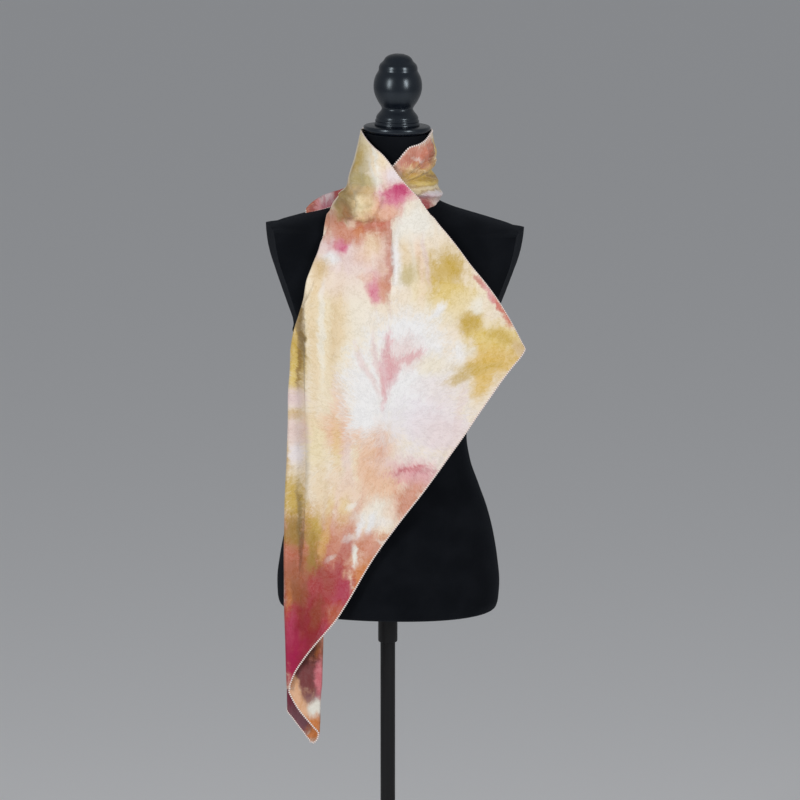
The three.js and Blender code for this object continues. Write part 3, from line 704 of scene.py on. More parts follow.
def rolled_hem(name, path, radius, scallop, pitch):
    """A narrow rolled hem along an edge, drawn in at each stitch where the hem is scalloped."""
    path = np.array(path, float)
    gap = np.linalg.norm(np.diff(path, axis=0), axis=1)
    path = path[np.r_[True, gap > 0.02]]
    run = np.r_[0, np.cumsum(np.linalg.norm(np.diff(path, axis=0), axis=1))]
    stitches = max(round(run[-1] / pitch), 1)
    place = spaced(0, run[-1], stitches * STITCH_PARTS + 1)
    centre = np.stack([np.interp(place, run, path[:, n]) for n in range(3)], -1)
    along = np.gradient(centre, axis=0)
    along /= np.linalg.norm(along, axis=1, keepdims=True)
    side = np.cross(along, [0, 1, 0.02])
    side /= np.linalg.norm(side, axis=1, keepdims=True)
    out = np.cross(side, along)
    swell = 1 + scallop * np.cos(2 * math.pi * place / run[-1] * stitches)
    points = []
    for turn in spaced(0, 2 * math.pi, HEM_SIDES + 1)[:-1]:
        way = math.cos(turn) * side + HEM_FLATNESS * math.sin(turn) * out
        points.append(centre + radius * swell[:, None] * way)
    ring = np.stack(points, 1)
    count = len(place)
    faces = grid_faces(count, HEM_SIDES, closed=True)
    last = (count - 1) * HEM_SIDES
    faces += [tuple(range(HEM_SIDES))[::-1], tuple(last + n for n in range(HEM_SIDES))]
    piece = mesh_piece(name, (ring * MM).reshape(-1, 3), faces)
    layer = piece.data.uv_layers.new(name="hem")
    corners = np.zeros(len(piece.data.loops), int)
    piece.data.loops.foreach_get("vertex_index", corners)
    stitch = np.repeat(place / run[-1] * stitches, HEM_SIDES)
    around = np.tile(np.arange(HEM_SIDES) / HEM_SIDES, count)
    layer.data.foreach_set("uv", np.stack([around, stitch], -1)[corners].ravel())
    select(piece)
    bpy.ops.object.mode_set(mode="EDIT")
    bpy.ops.mesh.select_all(action="SELECT")
    bpy.ops.mesh.normals_make_consistent(inside=False)
    bpy.ops.object.mode_set(mode="OBJECT")
    bpy.ops.object.shade_smooth()
    return piece


def lean_back(piece):
    """Tilts a piece that was made upright with the form, about the middle of the form's underside."""
    mesh = piece.data
    places = np.zeros(len(mesh.vertices) * 3)
    mesh.vertices.foreach_get("co", places)
    places = places.reshape(-1, 3)
    x, z = places[:, 0].copy(), places[:, 2] - FORM_FOOT * MM
    places[:, 0] = x * math.cos(FORM_LEAN) + z * math.sin(FORM_LEAN)
    places[:, 2] = -x * math.sin(FORM_LEAN) + z * math.cos(FORM_LEAN) + FORM_FOOT * MM
    mesh.vertices.foreach_set("co", places.ravel())
    mesh.update()


def rounded_profile(points, parts=3):
    """A turned profile with more points on a smooth line through its own."""
    line = np.array(points, float)
    ends = np.vstack([2 * line[0] - line[1], line, 2 * line[-1] - line[-2]])
    out = []
    for i in range(1, len(ends) - 2):
        a, b, c, d = ends[i - 1 : i + 3]
        for t in np.arange(parts) / parts:
            first = (c - a) * t
            second = (2 * a - 5 * b + 4 * c - d) * t**2
            third = (3 * b - a - 3 * c + d) * t**3
            out.append(0.5 * (2 * b + first + second + third))
    out.append(line[-1])
    return out


def turned(name, profile, steps=96, sharp=30):
    """A solid turned on a lathe: a single point is drawn along the profile and spun round the pole."""
    deselect()
    bpy.ops.mesh.primitive_plane_add(size=0.01, location=(0, 0, 0))
    piece = bpy.context.object
    piece.name = piece.data.name = name
    bpy.ops.object.mode_set(mode="EDIT")
    bpy.ops.mesh.select_all(action="SELECT")
    bpy.ops.mesh.merge(type="CENTER")
    places = [(0, profile[0][1]), *profile, (0, profile[-1][1])]
    here = (0, 0)
    for n, (radius, height) in enumerate(places):
        move = ((radius - here[0]) * MM, 0, (height - here[1]) * MM)
        if n == 0:
            bpy.ops.transform.translate(value=move)
        else:
            bpy.ops.mesh.extrude_vertices_move(TRANSFORM_OT_translate={"value": move})
        here = (radius, height)
    bpy.ops.mesh.select_all(action="SELECT")
    bpy.ops.mesh.spin(steps=steps, angle=2 * math.pi, center=(0, 0, 0), axis=(0, 0, 1))
    bpy.ops.mesh.select_all(action="SELECT")
    bpy.ops.mesh.remove_doubles(threshold=0.00002)
    bpy.ops.mesh.normals_make_consistent(inside=False)
    bpy.ops.object.mode_set(mode="OBJECT")
    bpy.ops.object.shade_smooth_by_angle(angle=math.radians(sharp))
    return piece


# Materials
class Value:
    """A socket that takes part in plain arithmetic."""

    def __init__(self, finish, socket):
        self.finish = finish
        self.socket = socket

    def _with(self, operation, first, second):
        return self.finish.maths(operation, first, second)

    def __add__(self, other):
        return self._with("ADD", self, other)

    def __radd__(self, other):
        return self._with("ADD", other, self)

    def __sub__(self, other):
        return self._with("SUBTRACT", self, other)

    def __rsub__(self, other):
        return self._with("SUBTRACT", other, self)

    def __mul__(self, other):
        return self._with("MULTIPLY", self, other)

    def __rmul__(self, other):
        return self._with("MULTIPLY", other, self)


class Finish:
    """A material and the nodes that make it."""

    def __init__(self, name, slot, colour, roughness, metallic=0, **sockets):
        self.slot = slot
        self.material = bpy.data.materials.new(name)
        self.material.use_nodes = True
        self.nodes = self.material.node_tree.nodes
        self.links = self.material.node_tree.links
        self.shader = self.nodes["Principled BSDF"]
        self.constant("Base Color", (*colour, 1))
        self.constant("Roughness", roughness)
        self.constant("Metallic", metallic)
        for socket, value in sockets.items():
            self.constant(socket.replace("_", " "), value)

    def constant(self, socket, value):
        self.shader.inputs[socket].default_value = value

    def node(self, kind, settings=None, output=0, **values):
        made = self.nodes.new(kind)
        for name, value in (settings or {}).items():
            setattr(made, name, value)
        for name, value in values.items():
            key = int(name[1:]) if name[0] == "_" else name.replace("_", " ")
            self.feed(made.inputs[key], value)
        return Value(self, made.outputs[output])

    def feed(self, socket, value):
        if isinstance(value, Value):
            self.links.new(value.socket, socket)
        else:
            socket.default_value = value

    def maths(self, operation, first, second=0.0):
        return self.node("ShaderNodeMath", {"operation": operation}, _0=first, _1=second)

    def vector(self, operation, first, second=(0, 0, 0), output=0):
        return self.node("ShaderNodeVectorMath", {"operation": operation}, output, _0=first, _1=second)

    def scaled(self, vector, by):
        made = self.node("ShaderNodeVectorMath", {"operation": "SCALE"}, _0=vector)
        self.feed(made.socket.node.inputs[3], by)
        return made

    def noise(self, vector, scale, detail=3.0, roughness=0.5, output=0):
        values = {"Vector": vector, "Scale": scale, "Detail": detail, "Roughness": roughness}
        return self.node("ShaderNodeTexNoise", None, output, **values)

    def between(self, value, low, high, start=0.0, end=1.0):
        settings = {"interpolation_type": "SMOOTHSTEP", "clamp": True}
        return self.node("ShaderNodeMapRange", settings, _0=value, _1=low, _2=high, _3=start, _4=end)

    def mixed(self, share, first, second):
        made = self.nodes.new("ShaderNodeMix")
        made.data_type = "RGBA"
        self.feed(made.inputs[0], share)
        self.feed(made.inputs[6], first if isinstance(first, Value) else (*first, 1))
        self.feed(made.inputs[7], second if isinstance(second, Value) else (*second, 1))
        return Value(self, made.outputs[2])

    def colour(self, value):
        self.links.new(value.socket, self.shader.inputs["Base Color"])

    def roughness(self, value):
        self.links.new(value.socket, self.shader.inputs["Roughness"])

    def bump(self, height, strength, distance):
        made = self.node("ShaderNodeBump", None, 0, Strength=strength, Distance=distance, Height=height)
        self.links.new(made.socket, self.shader.inputs["Normal"])

    def place(self):
        return self.node("ShaderNodeTexCoord", None, "Object")

    def cloth_place(self):
        return self.node("ShaderNodeUVMap", {"uv_map": "cloth"})


def dye(red, green, blue):
    """The colour that a dye needs so that it looks like this, of 255, in the studio's light."""
    seen = [((c / 255 + 0.055) / 1.055) ** 2.4 for c in (red, green, blue)]
    return tuple(min(max((c - SILK_GLOSS) / SILK_LIGHT, 0.002), 0.96) for c in seen)


# The share of a white sheet's brightness that the studio gives, and the gloss that lies over every dye
SILK_LIGHT = 0.84
SILK_GLOSS = 0.018

CREAM = dye(236, 220, 200)
PALE = dye(238, 230, 220)
WHITE = dye(234, 232, 231)
IVORY = dye(232, 216, 180)
SAND = dye(226, 202, 164)
TAN = dye(212, 184, 142)
PEACH = dye(232, 204, 182)
APRICOT = dye(228, 186, 156)
SALMON = dye(206, 146, 124)
TERRA = dye(186, 116, 98)
RUST = dye(198, 98, 84)
ORANGE = dye(208, 138, 96)
ROSE = dye(212, 140, 146)
BLUSH = dye(226, 204, 200)
LILAC = dye(230, 222, 226)
PINK = dye(212, 124, 150)
MAGENTA = dye(192, 78, 116)
CRIMSON = dye(166, 42, 78)
BERRY = dye(178, 76, 98)
WINE = dye(172, 88, 90)
OXBLOOD = dye(144, 52, 60)
PLUM = dye(120, 48, 66)
MAUVE = dye(126, 82, 82)
SMOKE = dye(122, 86, 92)
GOLD = dye(222, 196, 124)
HONEY = dye(220, 186, 114)
OCHRE = dye(198, 168, 94)
OLIVE = dye(196, 180, 134)
MOSS = dye(146, 122, 82)
BRONZE = dye(160, 126, 72)
BROWN = dye(150, 96, 70)
UMBER = dye(76, 42, 34)

# Dye pools on the hanging cloth, with painted shade in a few thin lines along folds among them: across, up,
# half width, half height, turn, colour, strength
PANEL_POOLS = [
    # Washes under the deeper colours
    (-100, 800, 90, 70, 0, SALMON, 1.0),
    (-112, 690, 90, 96, 0, WINE, 1.0),
    (-140, 800, 30, 60, 0, TERRA, 0.9),
    (-186, 570, 40, 60, 0, APRICOT, 1.0),
    (-190, 650, 40, 60, 0, MAUVE, 1.0),
    (-240, 570, 44, 70, 0, SMOKE, 1.0),
    # The panel's cream left and peach foot
    (-84, 1150, 42, 150, 0, IVORY, 0.6),
    (-68, 1158, 11, 56, 4, SAND, 0.75),
    (-78, 1110, 8, 60, 0, TAN, 0.35),
    (-106, 1120, 7, 100, 0, SAND, 0.6),
    (-94, 1150, 5, 80, 0, PALE, 0.6),
    (-60, 1214, 40, 30, 0, BLUSH, 0.5),
    (-40, 1150, 24, 60, 0, PALE, 0.5),
    (-70, 1010, 13, 56, 0, APRICOT, 0.85),
    (-60, 992, 80, 24, 0, APRICOT, 0.85),
    (-14, 968, 24, 52, 0, APRICOT, 0.9),
    (-12, 964, 10, 40, 0, SALMON, 0.45),
    (-104, 972, 17, 42, 0, IVORY, 0.95),
    (-74, 968, 7, 46, 0, GOLD, 0.4),
    (-58, 946, 9, 44, 0, BLUSH, 0.6),
    (-44, 930, 6, 44, 0, IVORY, 0.5),
    (-30, 930, 16, 46, 0, APRICOT, 0.9),
    (0, 920, 30, 34, 0, APRICOT, 0.9),
    (-60, 890, 30, 50, 0, PEACH, 0.8),
    (-96, 900, 12, 46, 0, SAND, 0.6),
    (-86, 862, 6, 44, 8, GOLD, 0.5),
    (-64, 872, 8, 30, 10, GOLD, 0.5),
    (-74, 838, 24, 34, 0, SALMON, 0.7),
    (-48, 860, 8, 40, 15, SALMON, 0.6),
    # The white heart and its feathers
    (54, 1226, 100, 70, 0, CREAM, 0.9),
    (92, 1178, 52, 34, 0, IVORY, 0.8),
    (28, 1128, 56, 46, 0, WHITE, 1.0),
    (30, 1050, 80, 74, 0, WHITE, 1.0),
    (-34, 1052, 34, 60, 0, WHITE, 0.9),
    (-38, 1020, 18, 28, 0, WHITE, 1.0),
    (66, 1000, 56, 40, 20, LILAC, 0.9),
    (84, 988, 44, 30, 25, BLUSH, 0.5),
    (104, 1030, 6, 40, 10, BLUSH, 0.4),
    (40, 940, 56, 22, 10, LILAC, 0.5),
    (24, 1108, 26, 24, 0, BLUSH, 0.75),
    (-30, 1080, 5, 44, -24, BLUSH, 0.7),
    (-16, 1090, 5, 50, -10, BLUSH, 0.8),
    (-2, 1086, 9, 44, 2, ROSE, 0.5),
    (-8, 1060, 5, 30, -6, ROSE, 0.35),
    (9, 1086, 10, 20, 10, ROSE, 0.6),
    (34, 1104, 18, 7, -25, ROSE, 0.5),
    (0, 1126, 5, 20, 0, ROSE, 0.35),
    (76, 1052, 34, 26, 20, BLUSH, 0.35),
    (62, 1092, 22, 14, 0, IVORY, 0.5),
    # Ochre and gold to the right corner
    (82, 1222, 34, 32, 20, OCHRE, 0.9),
    (90, 1232, 18, 13, 0, OCHRE, 0.9),
    (92, 1190, 30, 20, 20, GOLD, 0.8),
    (110, 1176, 26, 18, 30, IVORY, 0.6),
    (122, 1148, 20, 20, 0, OCHRE, 1.0),
    (158, 1124, 46, 24, 0, GOLD, 0.95),
    (148, 1092, 36, 24, 0, HONEY, 1.0),
    (136, 1064, 14, 30, 20, HONEY, 0.9),
    (104, 1072, 24, 8, -15, OCHRE, 0.7),
    (128, 1086, 34, 9, 0, OCHRE, 0.6),
    (168, 1128, 24, 10, 30, OCHRE, 0.6),
    (180, 1096, 12, 16, 0, HONEY, 0.8),
    (187, 1110, 10, 14, -30, TAN, 0.8),
    (195, 1100, 4, 8, 35, BROWN, 0.5),
    (72, 1170, 6, 16, 42, WHITE, 0.9),
    (102, 1106, 9, 16, 0, WHITE, 0.8),
    (118, 1108, 10, 8, 0, PALE, 0.5),
    (128, 1176, 12, 12, 0, PALE, 0.7),
    (146, 1150, 8, 10, -30, IVORY, 0.6),
    (133, 1207, 4, 12, -36, TERRA, 0.8),
    (147, 1190, 5, 24, -36, ROSE, 0.75),
    (160, 1174, 4, 12, -34, RUST, 0.75),
    (173, 1154, 5, 15, -32, RUST, 0.75),
    # Stripes under the throat
    (17, 1246, 15, 44, 0, WHITE, 0.7),
    (9, 1240, 5, 34, 0, WHITE, 0.7),
    (26, 1250, 8, 32, 0, SAND, 0.75),
    (46, 1236, 5, 50, -4, PEACH, 0.7),
    (54, 1246, 4, 40, -6, BLUSH, 0.6),
    (31, 1222, 14, 18, 15, OLIVE, 0.8),
    (44, 1204, 8, 16, 0, IVORY, 0.6),
    (-6, 1238, 11, 52, 0, SALMON, 0.6),
    (2, 1244, 5, 58, 0, TERRA, 0.8),
    (-4, 1276, 8, 16, 0, BROWN, 0.3),
    (-19, 1206, 12, 24, 0, ROSE, 0.9),
    (-18, 1196, 8, 13, 0, PINK, 0.6),
    (-6, 1204, 8, 16, 0, SALMON, 0.8),
    (-30, 1218, 12, 7, 0, APRICOT, 0.8),
    (40, 1290, 34, 22, 0, PALE, 0.9),
    (-40, 1246, 40, 34, 0, BLUSH, 0.8),
    (-34, 1252, 14, 20, 30, SALMON, 0.35),
    (-28, 1258, 24, 24, 0, PEACH, 0.8),
    (-22, 1268, 10, 22, 0, SAND, 0.5),
    (-76, 1257, 32, 26, 0, BLUSH, 1.0),
    (-70, 1258, 13, 17, 0, ROSE, 0.8),
    (-67, 1254, 9, 12, 0, PINK, 0.7),
    (-66, 1250, 5, 6, 0, MAGENTA, 0.35),
    (-56, 1262, 6, 14, 20, PINK, 0.5),
    (-82, 1240, 13, 10, 0, WHITE, 0.9),
    (-98, 1226, 11, 18, 20, TAN, 0.9),
    (-104, 1200, 6, 24, 20, SAND, 0.7),
    # Round the left of the neck
    (-50, 1286, 46, 20, 0, SALMON, 0.95),
    (-66, 1292, 20, 10, 10, TERRA, 0.6),
    (-22, 1296, 32, 18, 0, TERRA, 0.85),
    (-12, 1316, 12, 24, 0, SALMON, 0.95),
    (-6, 1300, 16, 12, 0, RUST, 0.4),
    # Painted shadow: a thin brown line under the puff of cloth at the neck's left
    (-44, 1298, 40, 5, 0, BROWN, 0.7),
    (-60, 1272, 20, 10, 30, SALMON, 0.9),
    (-84, 1284, 12, 20, 0, SALMON, 0.8),
    (-54, 1290, 9, 8, 0, PEACH, 0.9),
    (-40, 1278, 7, 12, 25, ORANGE, 0.5),
    (-40, 1318, 30, 20, 0, SAND, 1.0),
    (-44, 1318, 14, 12, 0, IVORY, 0.7),
    (-74, 1320, 16, 24, 0, TAN, 1.0),
    # Painted shade: moss and brown down the valley left of the puff and at its foot
    (-66, 1318, 12, 24, -10, MOSS, 0.8),
    (-58, 1304, 6, 14, -12, BROWN, 0.6),
    (-46, 1366, 22, 46, 8, OLIVE, 0.75),
    (-46, 1378, 9, 26, 10, OCHRE, 0.75),
    # Painted shade: bronze at the top of the same valley
    (-57, 1350, 9, 20, 0, BRONZE, 0.45),
    (-34, 1344, 28, 11, 0, OLIVE, 0.9),
    (-32, 1332, 26, 6, 0, TAN, 0.9),
    (-30, 1400, 14, 22, 0, IVORY, 0.9),
    (-18, 1362, 8, 52, -14, PALE, 0.8),
    (-24, 1376, 3, 26, -20, SAND, 0.6),
    (-7, 1362, 6, 40, -14, SAND, 0.6),
    (8, 1352, 18, 18, 0, BLUSH, 0.95),
    (10, 1358, 12, 10, 0, LILAC, 0.6),
    (14, 1328, 28, 15, -6, PINK, 0.85),
    (18, 1333, 20, 10, -8, MAGENTA, 0.9),
    (6, 1314, 20, 13, 0, PINK, 0.6),
    (0, 1306, 20, 9, 0, APRICOT, 0.7),
    # Over the waist, along the lower hem
    (44, 924, 38, 22, 20, ROSE, 0.7),
    (34, 936, 30, 5, -12, ROSE, 0.7),
    (58, 934, 22, 4, -8, BERRY, 0.3),
    (44, 906, 16, 9, -30, SALMON, 0.6),
    (30, 936, 24, 2.4, -14, WINE, 0.35),
    (28, 884, 20, 28, 25, SALMON, 0.95),
    (-16, 874, 18, 24, 35, PALE, 0.6),
    (-36, 862, 18, 14, 30, PALE, 0.6),
    (0, 872, 10, 18, 20, PEACH, 0.4),
    (-26, 856, 6, 18, 20, WHITE, 0.9),
    (-42, 848, 5, 18, 16, WHITE, 0.85),
    (-8, 858, 10, 8, 0, WHITE, 0.5),
    (-52, 884, 10, 6, -30, PALE, 0.7),
    (-58, 832, 12, 5, -35, PALE, 0.8),
    (-4, 836, 12, 7, 20, ORANGE, 0.6),
    (-26, 818, 22, 20, 30, SALMON, 0.95),
    (-8, 826, 10, 4, 30, PALE, 0.5),
    (-46, 804, 5, 20, -12, PALE, 1.0),
    (-81, 802, 9, 4, -35, PALE, 0.75),
    (-96, 812, 26, 24, 0, TERRA, 0.35),
    (-61, 778, 3, 14, 8, APRICOT, 0.9),
    (-34, 778, 14, 28, 28, ORANGE, 1.0),
    (-50, 742, 9, 34, 28, ORANGE, 0.8),
    (-62, 812, 10, 30, 10, WINE, 0.5),
    # The ochre edge and the wine foot
    (-107, 840, 11, 34, 0, OCHRE, 1.0),
    (-108, 826, 9, 26, 0, BRONZE, 0.7),
    (-92, 818, 6, 34, 8, HONEY, 0.5),
    (-110, 790, 14, 26, 0, BRONZE, 1.0),
    (-98, 780, 8, 20, 0, BROWN, 0.7),
    (-80, 766, 26, 32, 15, WINE, 0.95),
    (-96, 760, 14, 26, 20, BROWN, 0.5),
    (-64, 752, 14, 26, 20, BERRY, 0.7),
    (-106, 748, 22, 34, 0, WINE, 0.9),
    (-124, 730, 8, 46, 5, BROWN, 0.75),
    (-140, 742, 12, 44, 0, BROWN, 0.9),
    (-146, 740, 5, 40, 0, ORANGE, 0.6),
    (-76, 716, 18, 20, 25, TERRA, 0.9),
    (-92, 700, 14, 20, 25, BERRY, 0.7),
    (-140, 692, 12, 36, 0, BERRY, 1.0),
    (-114, 706, 20, 38, 12, OXBLOOD, 0.85),
    (-104, 716, 10, 30, 10, BROWN, 0.5),
    (-106, 686, 12, 18, 25, OXBLOOD, 0.7),
    (-134, 648, 22, 34, 0, CRIMSON, 1.0),
    (-120, 652, 10, 20, 25, OXBLOOD, 0.7),
    # The strip beside the front fold
    (-132, 1100, 14, 60, 0, OCHRE, 1.0),
    # Painted shade: a thin moss line in the crevice along the front fold
    (-124, 1140, 6, 50, 0, MOSS, 1.0),
    (-136, 1072, 6, 30, 0, GOLD, 0.8),
    # Painted shade: a thin bronze line in the same crevice
    (-128, 1084, 3, 34, 0, BRONZE, 0.8),
    (-136, 1036, 18, 16, 0, BLUSH, 1.0),
    (-136, 1014, 18, 8, 0, TAN, 0.95),
    (-136, 986, 18, 22, 0, BLUSH, 0.8),
    (-134, 952, 14, 18, 0, LILAC, 0.8),
    (-148, 946, 5, 30, 0, TAN, 0.9),
    (-136, 888, 20, 38, 0, OCHRE, 1.0),
    (-136, 838, 18, 30, 0, BRONZE, 1.0),
    # Painted shade: a thin moss line in the crevice along the front fold, lower down
    (-128, 860, 4, 50, 0, MOSS, 0.7),
    (-138, 792, 18, 26, 0, TERRA, 0.85),
    (-140, 770, 16, 34, 0, BROWN, 0.6),
    # Painted shade: a thin brown line in the same crevice
    (-126, 800, 4, 34, 0, BROWN, 0.8),
    # The tail's second and third layers, and what lies folded behind
    (-188, 652, 24, 36, 0, UMBER, 1.0),
    (-176, 640, 12, 26, 0, UMBER, 0.7),
    (-199, 664, 4, 16, 0, BROWN, 0.8),
    (-184, 620, 22, 24, 0, MAUVE, 1.0),
    (-202, 620, 6, 34, 0, ROSE, 0.95),
    (-164, 604, 8, 26, 12, APRICOT, 1.0),
    (-188, 590, 12, 12, 0, SMOKE, 0.8),
    (-194, 573, 13, 16, 0, PALE, 1.0),
    (-172, 578, 10, 28, 25, APRICOT, 0.9),
    (-188, 550, 20, 14, 0, ORANGE, 0.9),
    (-249, 590, 10, 26, 0, PLUM, 1.0),
    (-236, 560, 20, 22, 0, SMOKE, 1.0),
    (-212, 537, 14, 12, 0, ORANGE, 1.0),
    (-250, 700, 60, 60, 0, SALMON, 0.8),
    (-220, 900, 60, 80, 0, OCHRE, 0.6),
    (-250, 1020, 60, 60, 0, ROSE, 0.5),
]
WRAP_POOLS = [
    (62, 1370, 42, 34, 0, TERRA, 1.0),
    (44, 1384, 24, 18, 0, SALMON, 0.8),
    (70, 1358, 8, 10, 0, SAND, 0.7),
    # Painted highlight: a thin pale line slanting across the salmon
    (58, 1374, 14, 2.4, -25, PALE, 0.8),
    (56, 1374, 26, 22, 0, RUST, 0.3),
    (70, 1380, 12, 12, 0, BROWN, 0.35),
    (28, 1384, 8, 20, 0, TERRA, 0.9),
    (20, 1380, 7, 26, 0, BROWN, 0.8),
    (8, 1386, 10, 40, 0, TAN, 1.0),
    (12, 1392, 3, 26, 0, PALE, 0.6),
    (0, 1380, 8, 30, 0, OCHRE, 0.7),
    (24, 1346, 70, 20, 0, OCHRE, 1.0),
    (40, 1354, 44, 4, -16, SAND, 0.9),
    (24, 1350, 50, 3, -12, BRONZE, 0.8),
    (16, 1340, 34, 8, 0, BRONZE, 0.5),
    (46, 1338, 34, 3.4, -3, GOLD, 0.8),
    # Painted highlight: the thin ivory band along the lower roll
    (30, 1330, 60, 3.6, 0, IVORY, 1.0),
    (30, 1325, 60, 1.6, 0, BRONZE, 0.6),
    (24, 1319, 60, 5, 0, LILAC, 1.0),
    (12, 1310, 30, 8, 0, BLUSH, 0.9),
    (60, 1308, 26, 12, 0, WINE, 1.0),
    (56, 1302, 20, 5, 0, RUST, 0.6),
    (-40, 1340, 30, 30, 0, GOLD, 0.7),
    (-70, 1380, 40, 26, 0, PEACH, 0.8),
    (-90, 1336, 34, 20, 0, ROSE, 0.6),
    (-130, 1370, 30, 36, 0, OLIVE, 0.6),
    (-150, 1336, 30, 24, 0, BLUSH, 0.7),
    (-110, 1400, 30, 14, 0, IVORY, 0.8),
]
END_POOLS = [
    (-74, 8, 20, 20, 0, WINE, 1.0),
    (-92, 8, 16, 10, 20, LILAC, 0.8),
    (-88, 2, 16, 5, 20, BERRY, 0.8),
    (-100, 14, 12, 5, 0, SMOKE, 0.6),
    (-104, 4, 8, 6, 0, ROSE, 0.8),
    (-116, 8, 11, 16, 0, TERRA, 1.0),
    (-110, 4, 6, 5, 0, OXBLOOD, 0.6),
]


# How far the feathers reach from the heart, and the heights between which the cloth is painted darker toward
# its foot as painted shade, in metres
FEATHER_REACH = (0.27, 0.09)
FOOT_SHADE_HEIGHTS = (0.86, 0.62)
PANEL_HEART = (2, 1002)
NECK_HEART = (80, 1342)
TIP_HEART = (-90, 0)


def dyed_and_shaded_silk(name, ground, pools, heart):
    """Silk with soft dye pools whose edges feather out along the folds it was tied in; some pools are painted
    shade or painted highlights, and the colour is painted darker toward the cloth's foot as painted shade.
    """
    silk = Finish(name, "silk", ground, 0.42, Sheen_Weight=0.18, Sheen_Roughness=0.4, Specular_IOR_Level=0.42)
    at = silk.cloth_place()
    from_heart = silk.vector("SUBTRACT", at, (heart[0] * MM, heart[1] * MM, 0))
    ray = silk.vector("NORMALIZE", from_heart)
    spokes = silk.vector("ADD", silk.scaled(ray, 0.55), silk.scaled(from_heart, 1.1))
    near = silk.between(silk.vector("LENGTH", from_heart, output=1), *FEATHER_REACH)
    feather = silk.noise(spokes, 30, 4, 0.65)
    fine_feather = silk.noise(spokes, 95, 3, 0.65)
    hanging = silk.noise(silk.vector("MULTIPLY", at, (1, 0.14, 1)), 80, 4, 0.6)
    drift = silk.vector("SUBTRACT", silk.noise(at, 17, 3, 0.55, 1), (0.5, 0.5, 0.5))
    ruffle = silk.vector("SUBTRACT", silk.noise(at, 82, 5, 0.66, 1), (0.5, 0.5, 0.5))
    moved = silk.vector("ADD", at, silk.scaled(drift, 0.022))
    moved = silk.vector("ADD", moved, silk.scaled(ruffle, 0.012))
    pushed = ((feather - 0.5) * 0.022 + (fine_feather - 0.5) * 0.010) * (near * 0.85 + 0.15)
    moved = silk.vector("ADD", moved, silk.scaled(ray, pushed))
    mottle = silk.noise(moved, 64, 6, 0.7)
    blotch = (mottle - 0.5) * 1.4 + (fine_feather - 0.5) * near * 1.0 + (hanging - 0.5) * (1 - near) * 1.1
    shade = None
    for across, up, wide, high, turn, colour, strength in pools:
        off = silk.vector("SUBTRACT", moved, (across * MM, up * MM, 0))
        if turn:
            settings = {"rotation_type": "Z_AXIS"}
            off = silk.node("ShaderNodeVectorRotate", settings, Vector=off, Angle=math.radians(turn))
        off = silk.vector("MULTIPLY", off, (1 / (wide * MM), 1 / (high * MM), 0))
        far = silk.vector("LENGTH", off, output=1) + blotch
        share = silk.between(far, 1.5, 0.35, 0, strength)
        shade = silk.mixed(share, shade or ground, colour)
    rays = silk.noise(spokes, 120, 3, 0.7)
    threads = silk.noise(silk.vector("MULTIPLY", moved, (1, 0.22, 1)), 170, 3, 0.7) * (1 - near)
    lines = silk.noise(moved, 46, 5, 0.7)
    vein = silk.between(lines, 0.47, 0.5) * silk.between(lines, 0.54, 0.5)
    ruffled = silk.vector("ADD", moved, silk.scaled(drift, 0.4))
    creased_lines = silk.between(silk.noise(ruffled, 110, 4, 0.7), 0.52, 0.62)
    shade = silk.mixed(silk.between(rays, 0.42, 0.75) * near * 0.22, shade, PALE)
    # A deeper copy of the colour, used for the veins, the crease lines and the painted shade toward the foot
    deep = silk.node("ShaderNodeHueSaturation", None, 0, Saturation=1.3, Value=0.8, Color=shade)
    shade = silk.mixed(vein * 0.55, shade, deep)
    shade = silk.mixed(creased_lines * 0.4, shade, deep)
    # Painted shade: the colour darkens toward the cloth's foot, streaked along the threads, standing in for
    # the light falling off lower down
    foot = silk.between(silk.node("ShaderNodeSeparateXYZ", None, 1, Vector=at), *FOOT_SHADE_HEIGHTS)
    shade = silk.mixed(silk.between(threads, 0.4, 0.7) * foot * 0.45 + foot * 0.4, shade, deep)
    silk.colour(shade)
    silk.roughness(silk.between(silk.noise(at, 60, 3), 0.3, 0.7, 0.36, 0.5))
    crinkle = feather * near + hanging * (1 - near) + silk.noise(moved, 90, 3, 0.6) * 0.7
    weave = silk.noise(silk.vector("MULTIPLY", at, (1, 3.5, 1)), 1400, 1, 0.5)
    silk.bump(crinkle + weave * 0.05, 0.26, 0.004)
    return silk


def hem_thread():
    thread = Finish("hem_thread", "silk", dye(238, 222, 212), 0.55, Sheen_Weight=0.2)
    at = thread.place()
    along = thread.node("ShaderNodeUVMap", {"uv_map": "hem"})
    run = thread.node("ShaderNodeSeparateXYZ", None, 1, Vector=along)
    bead = thread.maths("COSINE", run * (2 * math.pi))
    plain = thread.mixed(thread.noise(at, 900, 2), dye(240, 230, 224), dye(232, 210, 202))
    # Painted shade: the thread darkens to rose-brown in the gaps between stitches, where the hem is drawn in
    thread.colour(thread.mixed(thread.between(bead, 0.1, -0.8, 0, 0.75), plain, dye(150, 108, 98)))
    thread.bump(thread.noise(at, 1800, 2), 0.3, 0.0006)
    return thread


def velvet():
    sheen = {"Sheen_Weight": 0.03, "Sheen_Roughness": 0.5, "Sheen_Tint": (0.5, 0.58, 0.75, 1)}
    pile = Finish("form_velvet", "velvet", (0.004, 0.0046, 0.006), 0.86, Specular_IOR_Level=0.05, **sheen)
    at = pile.place()
    nap = pile.noise(at, 22, 3, 0.5)
    short = pile.noise(at, 900, 3, 0.6)
    pile.colour(pile.mixed(pile.between(nap, 0.3, 0.7), (0.0038, 0.0046, 0.0064), (0.0062, 0.0072, 0.0096)))
    pile.roughness(pile.between(short, 0.3, 0.7, 0.8, 0.94))
    pile.bump(short + nap * 0.6, 0.35, 0.0012)
    return pile


